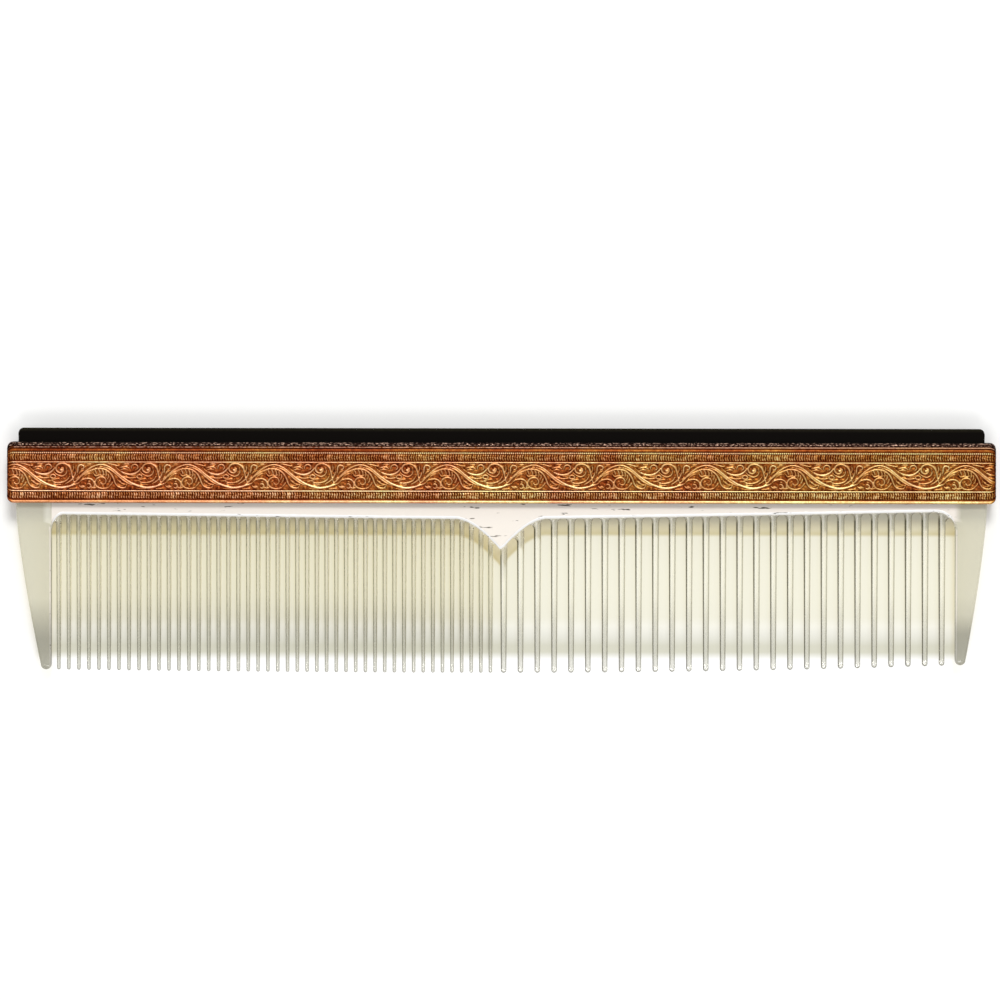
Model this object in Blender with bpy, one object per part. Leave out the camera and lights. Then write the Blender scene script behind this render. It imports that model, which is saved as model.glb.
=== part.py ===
"""Dressing comb: a clear blade held in a black spine bar between two gilt shells.

The comb lies on its rear shell. X runs along the spine, Y from the tooth tips
towards the spine, and Z up through the front shell. The origin is under the
middle of the whole comb, on the surface that it rests on. Lengths are metres.

Every piece hangs on one empty, at the middle of the spine's thickness and on
the line of the shells' lower edge, so Y below is measured from that edge.
"""

import math
from dataclasses import dataclass

import bmesh
import bpy
from mathutils import Matrix, Vector

# Clearances and overruns
FIT_GAP = 0.0003
CUT_OVERRUN = 0.0010
PLANE_TOLERANCE = 0.000002

# Gilt shells: one stamping, used on the front and on the rear
SHELL_LENGTH = 0.1800
SHELL_HEIGHT = 0.0112
SHELL_WALL = 0.00045
SHELL_RIM_DEPTH = 0.0013
SHELL_END_WALL = 0.0008
SHELL_CORNER_RADIUS = 0.0012
SHELL_NOSE_RADIUS = 0.0006

# Mouldings on a shell's face, from its lower edge up; the panel takes the rest
ROLL_HEIGHT = 0.00065
QUIRK_HEIGHT = 0.00025
BORDER_HEIGHT = 0.0012
LINE_HEIGHT = 0.00035
FILLET_HEIGHT = 0.0008
SHOULDER_HEIGHT = 0.0017
PANEL_DEPTH = 0.00030
LINE_DEPTH = 0.00012
QUIRK_DEPTH = 0.00020
FIELD_END_MARGIN = 0.0011

# Black spine bar
BAR_END_GAP = 0.00115
BAR_THICKNESS = 0.0038
BAR_RISE = 0.0025
BAR_FOOT = 0.0013
BAR_EDGE_RADIUS = 0.0005
BAR_CORNER_RADIUS = 0.0009
SLOT_END_WALL = 0.0040
SLOT_ROOF = 0.0048

# Clear blade
BLADE_END_GAP = 0.0006
FRAME_STEP = 0.0002
FRAME_CHAMFER = 0.00045
TONGUE_THICKNESS = 0.0018
TIP_THICKNESS = 0.0013
TOOTH_RELIEF = 0.0004
TIP_REACH = 0.0309
RISE_POWER = 2.0

# Guards at the two ends of the blade
FINE_GUARD_WIDTH = 0.0065
COARSE_GUARD_WIDTH = 0.0058
GUARD_TIP_WIDTH = 0.0019
GUARD_BOW_POWER = 1.35

# Root line, as depths below the shells' lower edge, with the web at the split
FINE_ROOT_DEPTH = 0.0030
FINE_ROOT_END_DEPTH = 0.0021
COARSE_ROOT_DEPTH = 0.0028
COARSE_ROOT_END_DEPTH = 0.0014
ROOT_POWER = 1.2
CORNER_DROP = 0.0034
FINE_CORNER_REACH = 0.0022
COARSE_CORNER_REACH = 0.0038
WEB_OFFSET = 0.0001
WEB_DEPTH = 0.0057
WEB_HALF_WIDTH = 0.0082
WEB_POWER = 1.7

# Teeth; the split lies between the last fine tooth and the first coarse one
SPLIT_OFFSET = 0.0011
FINE_PITCH = 0.00180
FINE_ROOT_WIDTH = 0.00098
FINE_TIP_WIDTH = 0.00066
FINE_END_RISE = 0.0005
FINE_DRIFT = 0.0006
COARSE_PITCH = 0.00308
COARSE_ROOT_WIDTH = 0.00135
COARSE_TIP_WIDTH = 0.00100
COARSE_END_RISE = 0.0015
COARSE_DRIFT = 0.0
TOOTH_EDGE = 0.00024
TOOTH_EMBED = 0.0008
EDGE_LIMIT_SHARE = 0.6
ARCH_SHARE = 0.97
TIP_FACE_SHARE = 0.5

# Hidden pins through the bar and the tongue
PIN_COUNT = 4
PIN_DIAMETER = 0.0015

# How finely round forms are divided, and the stations of a tooth in degrees
PIN_SIDES = 24
ARC_STEPS = 6
ROOT_STEPS = 8
WEB_STEPS = 7
BEVEL_STEPS = 3
SHARP_DEGREES = 35
FINE_ARCH_DEGREES = (0, 45, 90)
COARSE_ARCH_DEGREES = (0, 30, 60, 90)
TIP_DEGREES = (0, 45, 75)

# Sizes that follow from the ones above
BAR_LENGTH = SHELL_LENGTH - 2 * (SHELL_END_WALL + BAR_END_GAP)
BLADE_LENGTH = SHELL_LENGTH - 2 * (SHELL_END_WALL + BLADE_END_GAP)
BAR_FACE = BAR_THICKNESS / 2
SHELL_BACK = BAR_FACE + FIT_GAP
SPINE_FACE = SHELL_BACK + SHELL_RIM_DEPTH
SPINE_TOP = SHELL_HEIGHT + BAR_RISE
FRAME_THICKNESS = BAR_THICKNESS - 2 * FRAME_STEP
FRAME_SHOULDER = BAR_FOOT - FIT_GAP
TONGUE_TOP = SPINE_TOP - SLOT_ROOF - FIT_GAP
TONGUE_HALF_LENGTH = BAR_LENGTH / 2 - SLOT_END_WALL - FIT_GAP
SPLIT_X = -SPLIT_OFFSET
WEB_X = -WEB_OFFSET
MIDDLE_Y = (SPINE_TOP - TIP_REACH) / 2


@dataclass
class ToothRow:
    """One run of equal teeth between a guard and the split in the blade."""

    side: int
    guard_width: float
    nominal_pitch: float
    root_width: float
    tip_width: float
    root_depth: float
    root_end_depth: float
    end_rise: float
    drift: float
    corner_reach: float
    arch_degrees: tuple

    def __post_init__(self):
        self.guard_x = self.side * (BLADE_LENGTH / 2 - self.guard_width)
        self.span = abs(self.guard_x - SPLIT_X)
        room = self.span + self.root_width / 2
        self.count = max(1, round(room / self.nominal_pitch - 0.5))
        self.pitch = room / (self.count + 0.5)

    def centres(self):
        """X of each tooth, from the split outwards; the row's middle drifts towards the split."""
        even = [self.pitch * (i + 0.5) for i in range(self.count)]
        bow = [self.drift * math.sin(math.pi * out / self.span) for out in even]
        return [SPLIT_X + self.side * (out - back) for out, back in zip(even, bow)]

    def share(self, x):
        """How far x lies from the split towards the guard, from 0 to 1."""
        return min(1.0, abs(x - SPLIT_X) / self.span)

    def tip_y(self, x):
        """Y of the tips at x: the tip line rises towards the guard."""
        return -TIP_REACH + self.end_rise * self.share(x) ** RISE_POWER

    def root_y(self, x):
        """Y of the root line at x, with the web at the split and the round inner corner."""
        slope = self.share(x) ** ROOT_POWER
        depth = self.root_depth + (self.root_end_depth - self.root_depth) * slope
        to_web = min(1.0, abs(x - WEB_X) / WEB_HALF_WIDTH)
        depth += WEB_DEPTH * (1 - to_web) ** WEB_POWER
        to_guard = min(1.0, abs(self.guard_x - x) / self.corner_reach)
        depth += CORNER_DROP * (1 - math.sqrt(1 - (1 - to_guard) ** 2))
        return -depth


FINE = ToothRow(
    side=-1, guard_width=FINE_GUARD_WIDTH, nominal_pitch=FINE_PITCH,
    root_width=FINE_ROOT_WIDTH, tip_width=FINE_TIP_WIDTH,
    root_depth=FINE_ROOT_DEPTH, root_end_depth=FINE_ROOT_END_DEPTH,
    end_rise=FINE_END_RISE, drift=FINE_DRIFT, corner_reach=FINE_CORNER_REACH, arch_degrees=FINE_ARCH_DEGREES,
)
COARSE = ToothRow(
    side=1, guard_width=COARSE_GUARD_WIDTH, nominal_pitch=COARSE_PITCH,
    root_width=COARSE_ROOT_WIDTH, tip_width=COARSE_TIP_WIDTH,
    root_depth=COARSE_ROOT_DEPTH, root_end_depth=COARSE_ROOT_END_DEPTH,
    end_rise=COARSE_END_RISE, drift=COARSE_DRIFT, corner_reach=COARSE_CORNER_REACH, arch_degrees=COARSE_ARCH_DEGREES,
)


def clear_scene():
    """Remove what an earlier run, or the startup file, left in the scene."""
    for old in list(bpy.data.objects):
        bpy.data.objects.remove(old, do_unlink=True)


def make_material(name, colour, roughness, metallic=0.0, transmission=0.0):
    """A Principled material; colour is linear RGB."""
    material = bpy.data.materials.new(name)
    material.use_nodes = True
    shader = material.node_tree.nodes["Principled BSDF"]
    shader.inputs["Base Color"].default_value = (*colour, 1.0)
    shader.inputs["Roughness"].default_value = roughness
    shader.inputs["Metallic"].default_value = metallic
    shader.inputs["Transmission Weight"].default_value = transmission
    material.diffuse_color = (*colour, 1.0)
    return material


def add_empty(name, parent=None):
    """An empty that carries pieces."""
    empty = bpy.data.objects.new(name, None)
    bpy.context.scene.collection.objects.link(empty)
    empty.parent = parent
    return empty


def add_object(bm, name, parent, material=None):
    """Turn a bmesh into an object under its parent, smooth across gentle edges only."""
    bmesh.ops.recalc_face_normals(bm, faces=bm.faces)
    mesh = bpy.data.meshes.new(name)
    bm.to_mesh(mesh)
    bm.free()
    mesh.shade_smooth()
    mesh.set_sharp_from_angle(angle=math.radians(SHARP_DEGREES))
    made = bpy.data.objects.new(name, mesh)
    bpy.context.scene.collection.objects.link(made)
    made.parent = parent
    if material:
        mesh.materials.append(material)
    return made


def combine(target, bm, name, operation):
    """Join or cut a target with a tool shape, which isn't itself a piece of the comb."""
    tool = add_object(bm, name, target.parent)
    tool.hide_render = True
    tool.display_type = "WIRE"
    modifier = target.modifiers.new(name, "BOOLEAN")
    modifier.object = tool
    modifier.operation = operation
    modifier.solver = "EXACT"


def add_box(bm, low, high):
    """Add a box between two corners."""
    low, high = Vector(low), Vector(high)
    place = Matrix.Translation((low + high) / 2) @ Matrix.Diagonal((*(high - low), 1.0))
    bmesh.ops.create_cube(bm, size=1.0, matrix=place)


def add_round_bar(bm, x, y, radius, half_depth):
    """Add a round bar along Z, centred on the spine's middle."""
    bmesh.ops.create_cone(
        bm, cap_ends=True, segments=PIN_SIDES, radius1=radius, radius2=radius,
        depth=2 * half_depth, matrix=Matrix.Translation((x, y, 0)),
    )


def add_loft(bm, rings):
    """Add a solid through rings of points that match one for one; return its two end faces."""
    rings = [[bm.verts.new(point) for point in ring] for ring in rings]
    count = len(rings[0])
    for ring, following in zip(rings, rings[1:]):
        for i in range(count):
            j = (i + 1) % count
            bm.faces.new((ring[i], ring[j], following[j], following[i]))
    return bm.faces.new(rings[0][::-1]), bm.faces.new(rings[-1])


def add_prism(bm, outline, z_low, z_high):
    """Add a solid with the given outline in X and Y; return its low and high faces."""
    return add_loft(bm, [[(x, y, z) for x, y in outline] for z in (z_low, z_high)])


def arc(centre, radius, start, end):
    """Points along an arc between two angles in degrees, both ends included."""
    x, y = centre
    angles = [math.radians(start + (end - start) * i / ARC_STEPS) for i in range(ARC_STEPS + 1)]
    return [(x + radius * math.cos(a), y + radius * math.sin(a)) for a in angles]


def rounded_rectangle(half_length, y_low, y_high, radius):
    """Outline of a rectangle with round corners, counter-clockwise."""
    x, low, high = half_length - radius, y_low + radius, y_high - radius
    return (
        arc((x, low), radius, -90, 0)
        + arc((x, high), radius, 0, 90)
        + arc((-x, high), radius, 90, 180)
        + arc((-x, low), radius, 180, 270)
    )


def sunk_fields():
    """The fields sunk into a shell's face, each as the (y, depth) points of its floor."""
    quirk = ROLL_HEIGHT
    lower_border = quirk + QUIRK_HEIGHT
    lower_line = lower_border + BORDER_HEIGHT
    panel = lower_line + LINE_HEIGHT
    fillet_top = SHELL_HEIGHT - SHOULDER_HEIGHT
    fillet = fillet_top - FILLET_HEIGHT
    upper_line_top = fillet - BORDER_HEIGHT
    panel_top = upper_line_top - LINE_HEIGHT
    return [
        [(quirk, QUIRK_DEPTH), (lower_border, QUIRK_DEPTH)],
        [
            (lower_line, LINE_DEPTH), (panel, LINE_DEPTH),
            (panel, PANEL_DEPTH), (panel_top, PANEL_DEPTH),
            (panel_top, LINE_DEPTH), (upper_line_top, LINE_DEPTH),
        ],
        [(fillet, QUIRK_DEPTH), (fillet_top, QUIRK_DEPTH)],
    ]


def build_shell(name, material, parent):
    """A stamped shell: nosed front edges, sunk fields, turned rims and deeper end walls."""
    half = SHELL_LENGTH / 2
    bm = bmesh.new()
    outline = rounded_rectangle(half, 0, SHELL_HEIGHT, SHELL_CORNER_RADIUS)
    _, face = add_prism(bm, outline, FIT_GAP / 2, SPINE_FACE)
    bmesh.ops.bevel(
        bm, geom=list(face.edges), offset=SHELL_NOSE_RADIUS, segments=BEVEL_STEPS,
        profile=0.5, affect="EDGES",
    )
    shell = add_object(bm, name, parent, material)

    fields = bmesh.new()
    field_half = half - FIELD_END_MARGIN
    for floor in sunk_fields():
        first, last = floor[0][0], floor[-1][0]
        section = [(first, -CUT_OVERRUN), *floor, (last, -CUT_OVERRUN)]
        add_loft(fields, [
            [(x, y, SPINE_FACE - depth) for y, depth in section] for x in (-field_half, field_half)
        ])
    combine(shell, fields, name + "_fields", "DIFFERENCE")

    throat = bmesh.new()
    throat_half = half - SHELL_END_WALL
    add_box(
        throat, (-throat_half, -CUT_OVERRUN, -CUT_OVERRUN),
        (throat_half, SHELL_HEIGHT + CUT_OVERRUN, SHELL_BACK),
    )
    combine(shell, throat, name + "_throat", "DIFFERENCE")

    hollow = bmesh.new()
    inner = rounded_rectangle(
        throat_half, SHELL_WALL, SHELL_HEIGHT - SHELL_WALL, SHELL_CORNER_RADIUS - SHELL_WALL
    )
    add_prism(hollow, inner, -CUT_OVERRUN, SPINE_FACE - PANEL_DEPTH - SHELL_WALL)
    combine(shell, hollow, name + "_hollow", "DIFFERENCE")


def pin_places():
    """X and Y of the hidden pins, evenly spread along the middle of the tongue."""
    spacing = 2 * TONGUE_HALF_LENGTH / PIN_COUNT
    y = (FRAME_SHOULDER + TONGUE_TOP) / 2
    return [((i + 0.5) * spacing - TONGUE_HALF_LENGTH, y) for i in range(PIN_COUNT)]


def cut_pin_holes(target, name):
    """Cut the pins' holes, a gap wider than the pins."""
    holes = bmesh.new()
    for x, y in pin_places():
        add_round_bar(holes, x, y, PIN_DIAMETER / 2 + FIT_GAP, BAR_FACE + CUT_OVERRUN)
    combine(target, holes, name, "DIFFERENCE")


def build_bar(material, parent):
    """The black bar, with softened top edges and a slot from below for the tongue."""
    half, radius = BAR_LENGTH / 2, BAR_CORNER_RADIUS
    outline = (
        [(-half, BAR_FOOT), (half, BAR_FOOT)]
        + arc((half - radius, SPINE_TOP - radius), radius, 0, 90)
        + arc((radius - half, SPINE_TOP - radius), radius, 90, 180)
    )
    bm = bmesh.new()
    ends = add_prism(bm, outline, -BAR_FACE, BAR_FACE)
    rims = [e for face in ends for e in face.edges if max(v.co.y for v in e.verts) > SHELL_HEIGHT]
    bmesh.ops.bevel(
        bm, geom=rims, offset=BAR_EDGE_RADIUS, segments=BEVEL_STEPS, profile=0.5, affect="EDGES"
    )
    bar = add_object(bm, "spine_bar", parent, material)

    slot = bmesh.new()
    x, side = TONGUE_HALF_LENGTH + FIT_GAP, TONGUE_THICKNESS / 2 + FIT_GAP
    add_box(slot, (-x, BAR_FOOT - CUT_OVERRUN, -side), (x, TONGUE_TOP + FIT_GAP, side))
    combine(bar, slot, "bar_slot", "DIFFERENCE")
    cut_pin_holes(bar, "bar_pin_holes")


def guard_outline(row):
    """Points down a guard's outer edge and round its tip, ending on its inner edge."""
    outer = row.side * BLADE_LENGTH / 2
    lean = row.guard_x + row.side * GUARD_TIP_WIDTH - outer
    radius = GUARD_TIP_WIDTH / 2
    tip_y = row.tip_y(row.guard_x) + radius
    shares = [i / ARC_STEPS for i in range(ARC_STEPS)]
    down = [(outer + lean * share ** GUARD_BOW_POWER, tip_y * share) for share in shares]
    start, end = (180, 360) if row.side < 0 else (0, -180)
    return down + arc((row.guard_x + row.side * radius, tip_y), radius, start, end)


def root_stations(row):
    """X of the root line's points, from a guard's inner edge to just short of the web's point."""
    plain_end = row.guard_x - row.side * row.corner_reach
    web_end = WEB_X + row.side * WEB_HALF_WIDTH
    quarter = [math.pi / 2 * i / ARC_STEPS for i in range(ARC_STEPS)]
    corner = [row.guard_x + (plain_end - row.guard_x) * (1 - math.cos(a)) for a in quarter]
    plain = [plain_end + (web_end - plain_end) * i / ROOT_STEPS for i in range(ROOT_STEPS)]
    web = [web_end + (WEB_X - web_end) * i / WEB_STEPS for i in range(WEB_STEPS)]
    return corner + plain + web


def root_line():
    """Points along the root line, from the fine guard to the coarse guard."""
    fine = [(x, FINE.root_y(x)) for x in root_stations(FINE) + [WEB_X]]
    coarse = [(x, COARSE.root_y(x)) for x in root_stations(COARSE)]
    return fine + coarse[::-1]


def frame_thickness(y):
    """Thickness of the frame at y: even down to the fine root line, then thinner to the tips."""
    below = max(0.0, -FINE_ROOT_DEPTH - y) / (TIP_REACH - FINE_ROOT_DEPTH)
    tip = TIP_THICKNESS + 2 * TOOTH_RELIEF
    return FRAME_THICKNESS + (tip - FRAME_THICKNESS) * below


def tooth_thickness(y):
    """Thickness of a tooth at y, a relief thinner on each face than the frame."""
    return frame_thickness(y) - 2 * TOOTH_RELIEF


def build_frame(material, parent):
    """The blade's frame: shoulder, root line with its web, and the two guards."""
    half = BLADE_LENGTH / 2
    outline = (
        [(-half, FRAME_SHOULDER)] + guard_outline(FINE) + root_line()
        + guard_outline(COARSE)[::-1] + [(half, FRAME_SHOULDER)]
    )
    flat = FRAME_THICKNESS / 2 - FRAME_CHAMFER
    bm = bmesh.new()
    for face, side in zip(add_prism(bm, outline, -flat, flat), (-1, 1)):
        bmesh.ops.inset_region(bm, faces=[face], thickness=FRAME_CHAMFER, use_even_offset=True)
        for vert in face.verts:
            vert.co.z += side * FRAME_CHAMFER
    bmesh.ops.bisect_plane(
        bm, geom=bm.verts[:] + bm.edges[:] + bm.faces[:], dist=PLANE_TOLERANCE,
        plane_co=(0, -FINE_ROOT_DEPTH, 0), plane_no=(0, 1, 0),
    )
    bmesh.ops.triangulate(bm, faces=[face for face in bm.faces if len(face.verts) > 4])
    for vert in bm.verts:
        vert.co.z *= frame_thickness(vert.co.y) / FRAME_THICKNESS
    return add_object(bm, "comb_blade", parent, material)


def tooth_stations(row, x):
    """Stations down one tooth as (y, width, thickness): gap arches, taper, then a round tip."""
    root, tip = row.root_y(x), row.tip_y(x)
    arch = (row.pitch * ARCH_SHARE - row.root_width) / 2
    stations = [(root + TOOTH_EMBED, row.root_width + 2 * arch, tooth_thickness(root))]
    for angle in map(math.radians, row.arch_degrees):
        y = root - arch * (1 - math.cos(angle))
        width = row.root_width + 2 * arch * (1 - math.sin(angle))
        stations.append((y, width, tooth_thickness(y)))
    radius = row.tip_width / 2
    last = math.sin(math.radians(TIP_DEGREES[-1]))
    for angle in map(math.radians, TIP_DEGREES):
        y = tip + radius * (last - math.sin(angle))
        face = TIP_FACE_SHARE + (1 - TIP_FACE_SHARE) * math.cos(angle)
        stations.append((y, row.tip_width * math.cos(angle), tooth_thickness(y) * face))
    return stations


def tooth_ring(x, y, width, thickness):
    """Eight points round a tooth's section: a rectangle in X and Z with its edges cut off."""
    half_x, half_z = width / 2, thickness / 2
    cut = min(TOOTH_EDGE, half_x * EDGE_LIMIT_SHARE, half_z * EDGE_LIMIT_SHARE)
    quarter = [(half_x, half_z - cut), (half_x - cut, half_z)]
    half = quarter + [(-dx, dz) for dx, dz in reversed(quarter)]
    return [(x + dx, y, dz) for dx, dz in half + [(-dx, -dz) for dx, dz in half]]


def build_blade(material, parent):
    """The one-piece blade: frame, both rows of teeth, and the tongue with its pin holes."""
    blade = build_frame(material, parent)

    teeth = bmesh.new()
    for row in (FINE, COARSE):
        for x in row.centres():
            add_loft(teeth, [tooth_ring(x, *station) for station in tooth_stations(row, x)])
    combine(blade, teeth, "blade_teeth", "UNION")

    tongue = bmesh.new()
    side = TONGUE_THICKNESS / 2
    add_box(
        tongue, (-TONGUE_HALF_LENGTH, FRAME_SHOULDER - CUT_OVERRUN, -side),
        (TONGUE_HALF_LENGTH, TONGUE_TOP, side),
    )
    combine(blade, tongue, "blade_tongue", "UNION")
    cut_pin_holes(blade, "tongue_pin_holes")


def build_pins(material, parent):
    """Short pins, flush with the bar's two faces."""
    for number, (x, y) in enumerate(pin_places(), start=1):
        bm = bmesh.new()
        add_round_bar(bm, 0, 0, PIN_DIAMETER / 2, BAR_FACE)
        pin = add_object(bm, f"spine_pin_{number}", parent, material)
        pin.location = (x, y, 0)


def main():
    """Build the comb, lying on its rear shell."""
    clear_scene()
    gilt = make_material("gilt_brass", (0.62, 0.33, 0.10), 0.32, metallic=1.0)
    black = make_material("black_plastic", (0.012, 0.009, 0.005), 0.35)
    clear = make_material("clear_acrylic", (0.93, 0.90, 0.76), 0.05, transmission=1.0)
    brass = make_material("pin_brass", (0.55, 0.38, 0.14), 0.4, metallic=1.0)

    comb = add_empty("comb")
    comb.location = (0, -MIDDLE_Y, SPINE_FACE)
    rear_side = add_empty("rear_side", comb)
    rear_side.rotation_euler = (0, math.pi, 0)

    build_shell("front_shell", gilt, comb)
    build_shell("rear_shell", gilt, rear_side)
    build_bar(black, comb)
    build_blade(clear, comb)
    build_pins(brass, comb)


main()
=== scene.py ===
"""Looks of a dressing comb: gilt stamped shells, a black spine bar and a clear blade.

The comb lies on its rear shell. X runs along the spine, Y from the tooth tips
to the spine, Z up through the front shell. The classes below work in
millimetres, measured along X from the middle of the comb, along Y from the
shells' lower edge and along Z from the middle of the spine's thickness, and
hand metres to Blender.
"""

import logging
import math
from dataclasses import dataclass
from enum import Enum

import bpy
import numpy as np
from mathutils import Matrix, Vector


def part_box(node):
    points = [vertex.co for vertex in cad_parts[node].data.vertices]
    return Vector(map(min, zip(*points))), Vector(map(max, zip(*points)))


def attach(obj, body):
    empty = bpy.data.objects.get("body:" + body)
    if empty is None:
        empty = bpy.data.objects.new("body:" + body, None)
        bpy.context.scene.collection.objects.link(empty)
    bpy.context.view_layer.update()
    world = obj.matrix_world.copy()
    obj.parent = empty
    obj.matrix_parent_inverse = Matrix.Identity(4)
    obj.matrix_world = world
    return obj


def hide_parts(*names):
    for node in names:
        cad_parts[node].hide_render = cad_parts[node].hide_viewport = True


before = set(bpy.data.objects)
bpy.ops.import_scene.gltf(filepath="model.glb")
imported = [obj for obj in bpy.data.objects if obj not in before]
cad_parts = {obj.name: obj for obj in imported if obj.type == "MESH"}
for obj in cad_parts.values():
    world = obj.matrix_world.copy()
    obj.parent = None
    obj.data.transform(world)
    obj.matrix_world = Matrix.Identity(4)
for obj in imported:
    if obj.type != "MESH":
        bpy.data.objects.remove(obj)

LOG = logging.getLogger("comb")
MM = 0.001
BLACK, WHITE = "#000000", "#FFFFFF"
COLOURS = {"data_type": "RGBA"}  # settings of a Mix node that mixes colours; its result is output 2

Array = np.ndarray
Colour = tuple[float, float, float, float]


class Face(Enum):
    """Which side of the comb a shell covers; the value turns its points about Y."""

    FRONT = 1
    REAR = -1


def linear(code: str) -> Colour:
    """Turn an sRGB hex colour into linear light.

    Args:
        code: colour as "#rrggbb".

    Returns:
        Red, green, blue and an alpha of 1.
    """
    parts = [int(code[i : i + 2], 16) / 255 for i in (1, 3, 5)]
    red, green, blue = (c / 12.92 if c <= 0.04045 else ((c + 0.055) / 1.055) ** 2.4 for c in parts)
    return red, green, blue, 1.0


def add_node(
    tree: bpy.types.NodeTree,
    kind: str,
    settings: dict | None = None,
    inputs: dict | None = None,
    stops: list[tuple[float, str]] | None = None,
) -> bpy.types.Node:
    """Add a node with its settings and links.

    Args:
        tree: node tree it goes into.
        kind: Blender's name for the node type.
        settings: attributes to set on the node.
        inputs: values, hex colours or source sockets, by input name or number.
        stops: places and hex colours, for a node with a colour ramp.

    Returns:
        The new node.
    """
    node = tree.nodes.new(kind)
    for name, value in (settings or {}).items():
        setattr(node, name, value)
    for name, value in (inputs or {}).items():
        if isinstance(value, bpy.types.NodeSocket):
            tree.links.new(value, node.inputs[name])
        else:
            node.inputs[name].default_value = linear(value) if isinstance(value, str) else value
    for number, (place, code) in enumerate(stops or []):
        points = node.color_ramp.elements
        point = points[number] if number < 2 else points.new(place)
        point.position, point.color = place, linear(code)
    return node


def new_material(name: str) -> tuple[bpy.types.Material, bpy.types.NodeTree, bpy.types.Node]:
    """Start an empty node material.

    Args:
        name: name of the real material.

    Returns:
        The material, its node tree and its output node.
    """
    material = bpy.data.materials.new(name)
    material.use_nodes = True
    tree = material.node_tree
    tree.nodes.clear()
    return material, tree, add_node(tree, "ShaderNodeOutputMaterial")


def per_mm(size_mm: float) -> float:
    """Scale of a noise whose grains are this many millimetres across, on metre coordinates."""
    return 1.0 / (size_mm * MM)


def ramp(value: Array, start: float, width: float) -> Array:
    """Share of the way that a value has gone from a start over a width, kept between 0 and 1."""
    return np.clip((value - start) / width, 0, 1)


def make_mesh(
    name: str, points: Array, quads: Array, polygons: list[Array], attributes: dict[str, Array], sharp_deg: float
) -> bpy.types.Mesh:
    """Put points and faces into a smooth mesh.

    Args:
        name: mesh name.
        points: places in metres, n x 3.
        quads: corner numbers, n x 4.
        polygons: corner numbers of each face with more corners.
        attributes: numbers per point, by name.
        sharp_deg: edges that turn more than this stay sharp.

    Returns:
        The mesh.
    """
    corners = np.concatenate((quads.ravel(), *polygons)).astype(np.int32)
    sizes = np.concatenate((np.full(len(quads), 4), [len(polygon) for polygon in polygons]))
    starts = np.concatenate(([0], np.cumsum(sizes)[:-1])).astype(np.int32)
    mesh = bpy.data.meshes.new(name)
    mesh.vertices.add(len(points))
    mesh.vertices.foreach_set("co", points.astype(np.float32).ravel())
    mesh.loops.add(len(corners))
    mesh.loops.foreach_set("vertex_index", corners)
    mesh.polygons.add(len(starts))
    mesh.polygons.foreach_set("loop_start", starts)
    mesh.update(calc_edges=True)
    mesh.shade_smooth()
    mesh.set_sharp_from_angle(angle=math.radians(sharp_deg))
    for key, values in attributes.items():
        layer = mesh.attributes.new(key, "FLOAT", "POINT")
        layer.data.foreach_set("value", values.astype(np.float32).ravel())
    return mesh


def sweep_mesh(name: str, rings: Array, attributes: dict[str, Array], sharp_deg: float) -> bpy.types.Mesh:
    """Skin closed rings that match point for point, and close both ends.

    The surface is the grid of stations and ring points: quad (i, j) joins
    points j and j + 1 of ring i to those of ring i + 1. Its signed volume, the
    sum of corner triple products, says which way round the faces point out.

    Args:
        name: mesh name.
        rings: points in metres, as stations x ring points x 3.
        attributes: numbers per point, as stations x ring points.
        sharp_deg: edges that turn more than this stay sharp.

    Returns:
        The closed mesh.
    """
    stations, around = rings.shape[:2]
    points = rings.reshape(-1, 3)
    i, j = np.meshgrid(np.arange(stations - 1), np.arange(around), indexing="ij")
    k = (j + 1) % around
    quads = np.stack((i * around + j, i * around + k, (i + 1) * around + k, (i + 1) * around + j), -1)
    quads = quads.reshape(-1, 4)
    ends = [np.arange(around)[::-1], (stations - 1) * around + np.arange(around)]
    a, b, c, d = (points[quads[:, n]] for n in range(4))
    if (np.cross(a, b) * c).sum() + (np.cross(a, c) * d).sum() < 0:
        quads, ends = quads[:, ::-1], [end[::-1] for end in ends]
    return make_mesh(name, points, quads, ends, attributes, sharp_deg)


def add_piece(mesh: bpy.types.Mesh, material: bpy.types.Material, slot: str, *nodes: str) -> bpy.types.Object:
    """Show a mesh as a piece of the comb in place of CAD nodes.

    Args:
        mesh: finished mesh, in place.
        material: its finish.
        slot: the record's slot that the finish stands for; not used.
        nodes: CAD nodes that the piece stands for.

    Returns:
        The new object.
    """
    mesh.materials.append(material)
    piece = bpy.data.objects.new(mesh.name, mesh)
    bpy.context.scene.collection.objects.link(piece)
    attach(piece, "root")
    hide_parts(*nodes)
    LOG.info("%s: %d faces", piece.name, len(mesh.polygons))
    return piece


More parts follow.
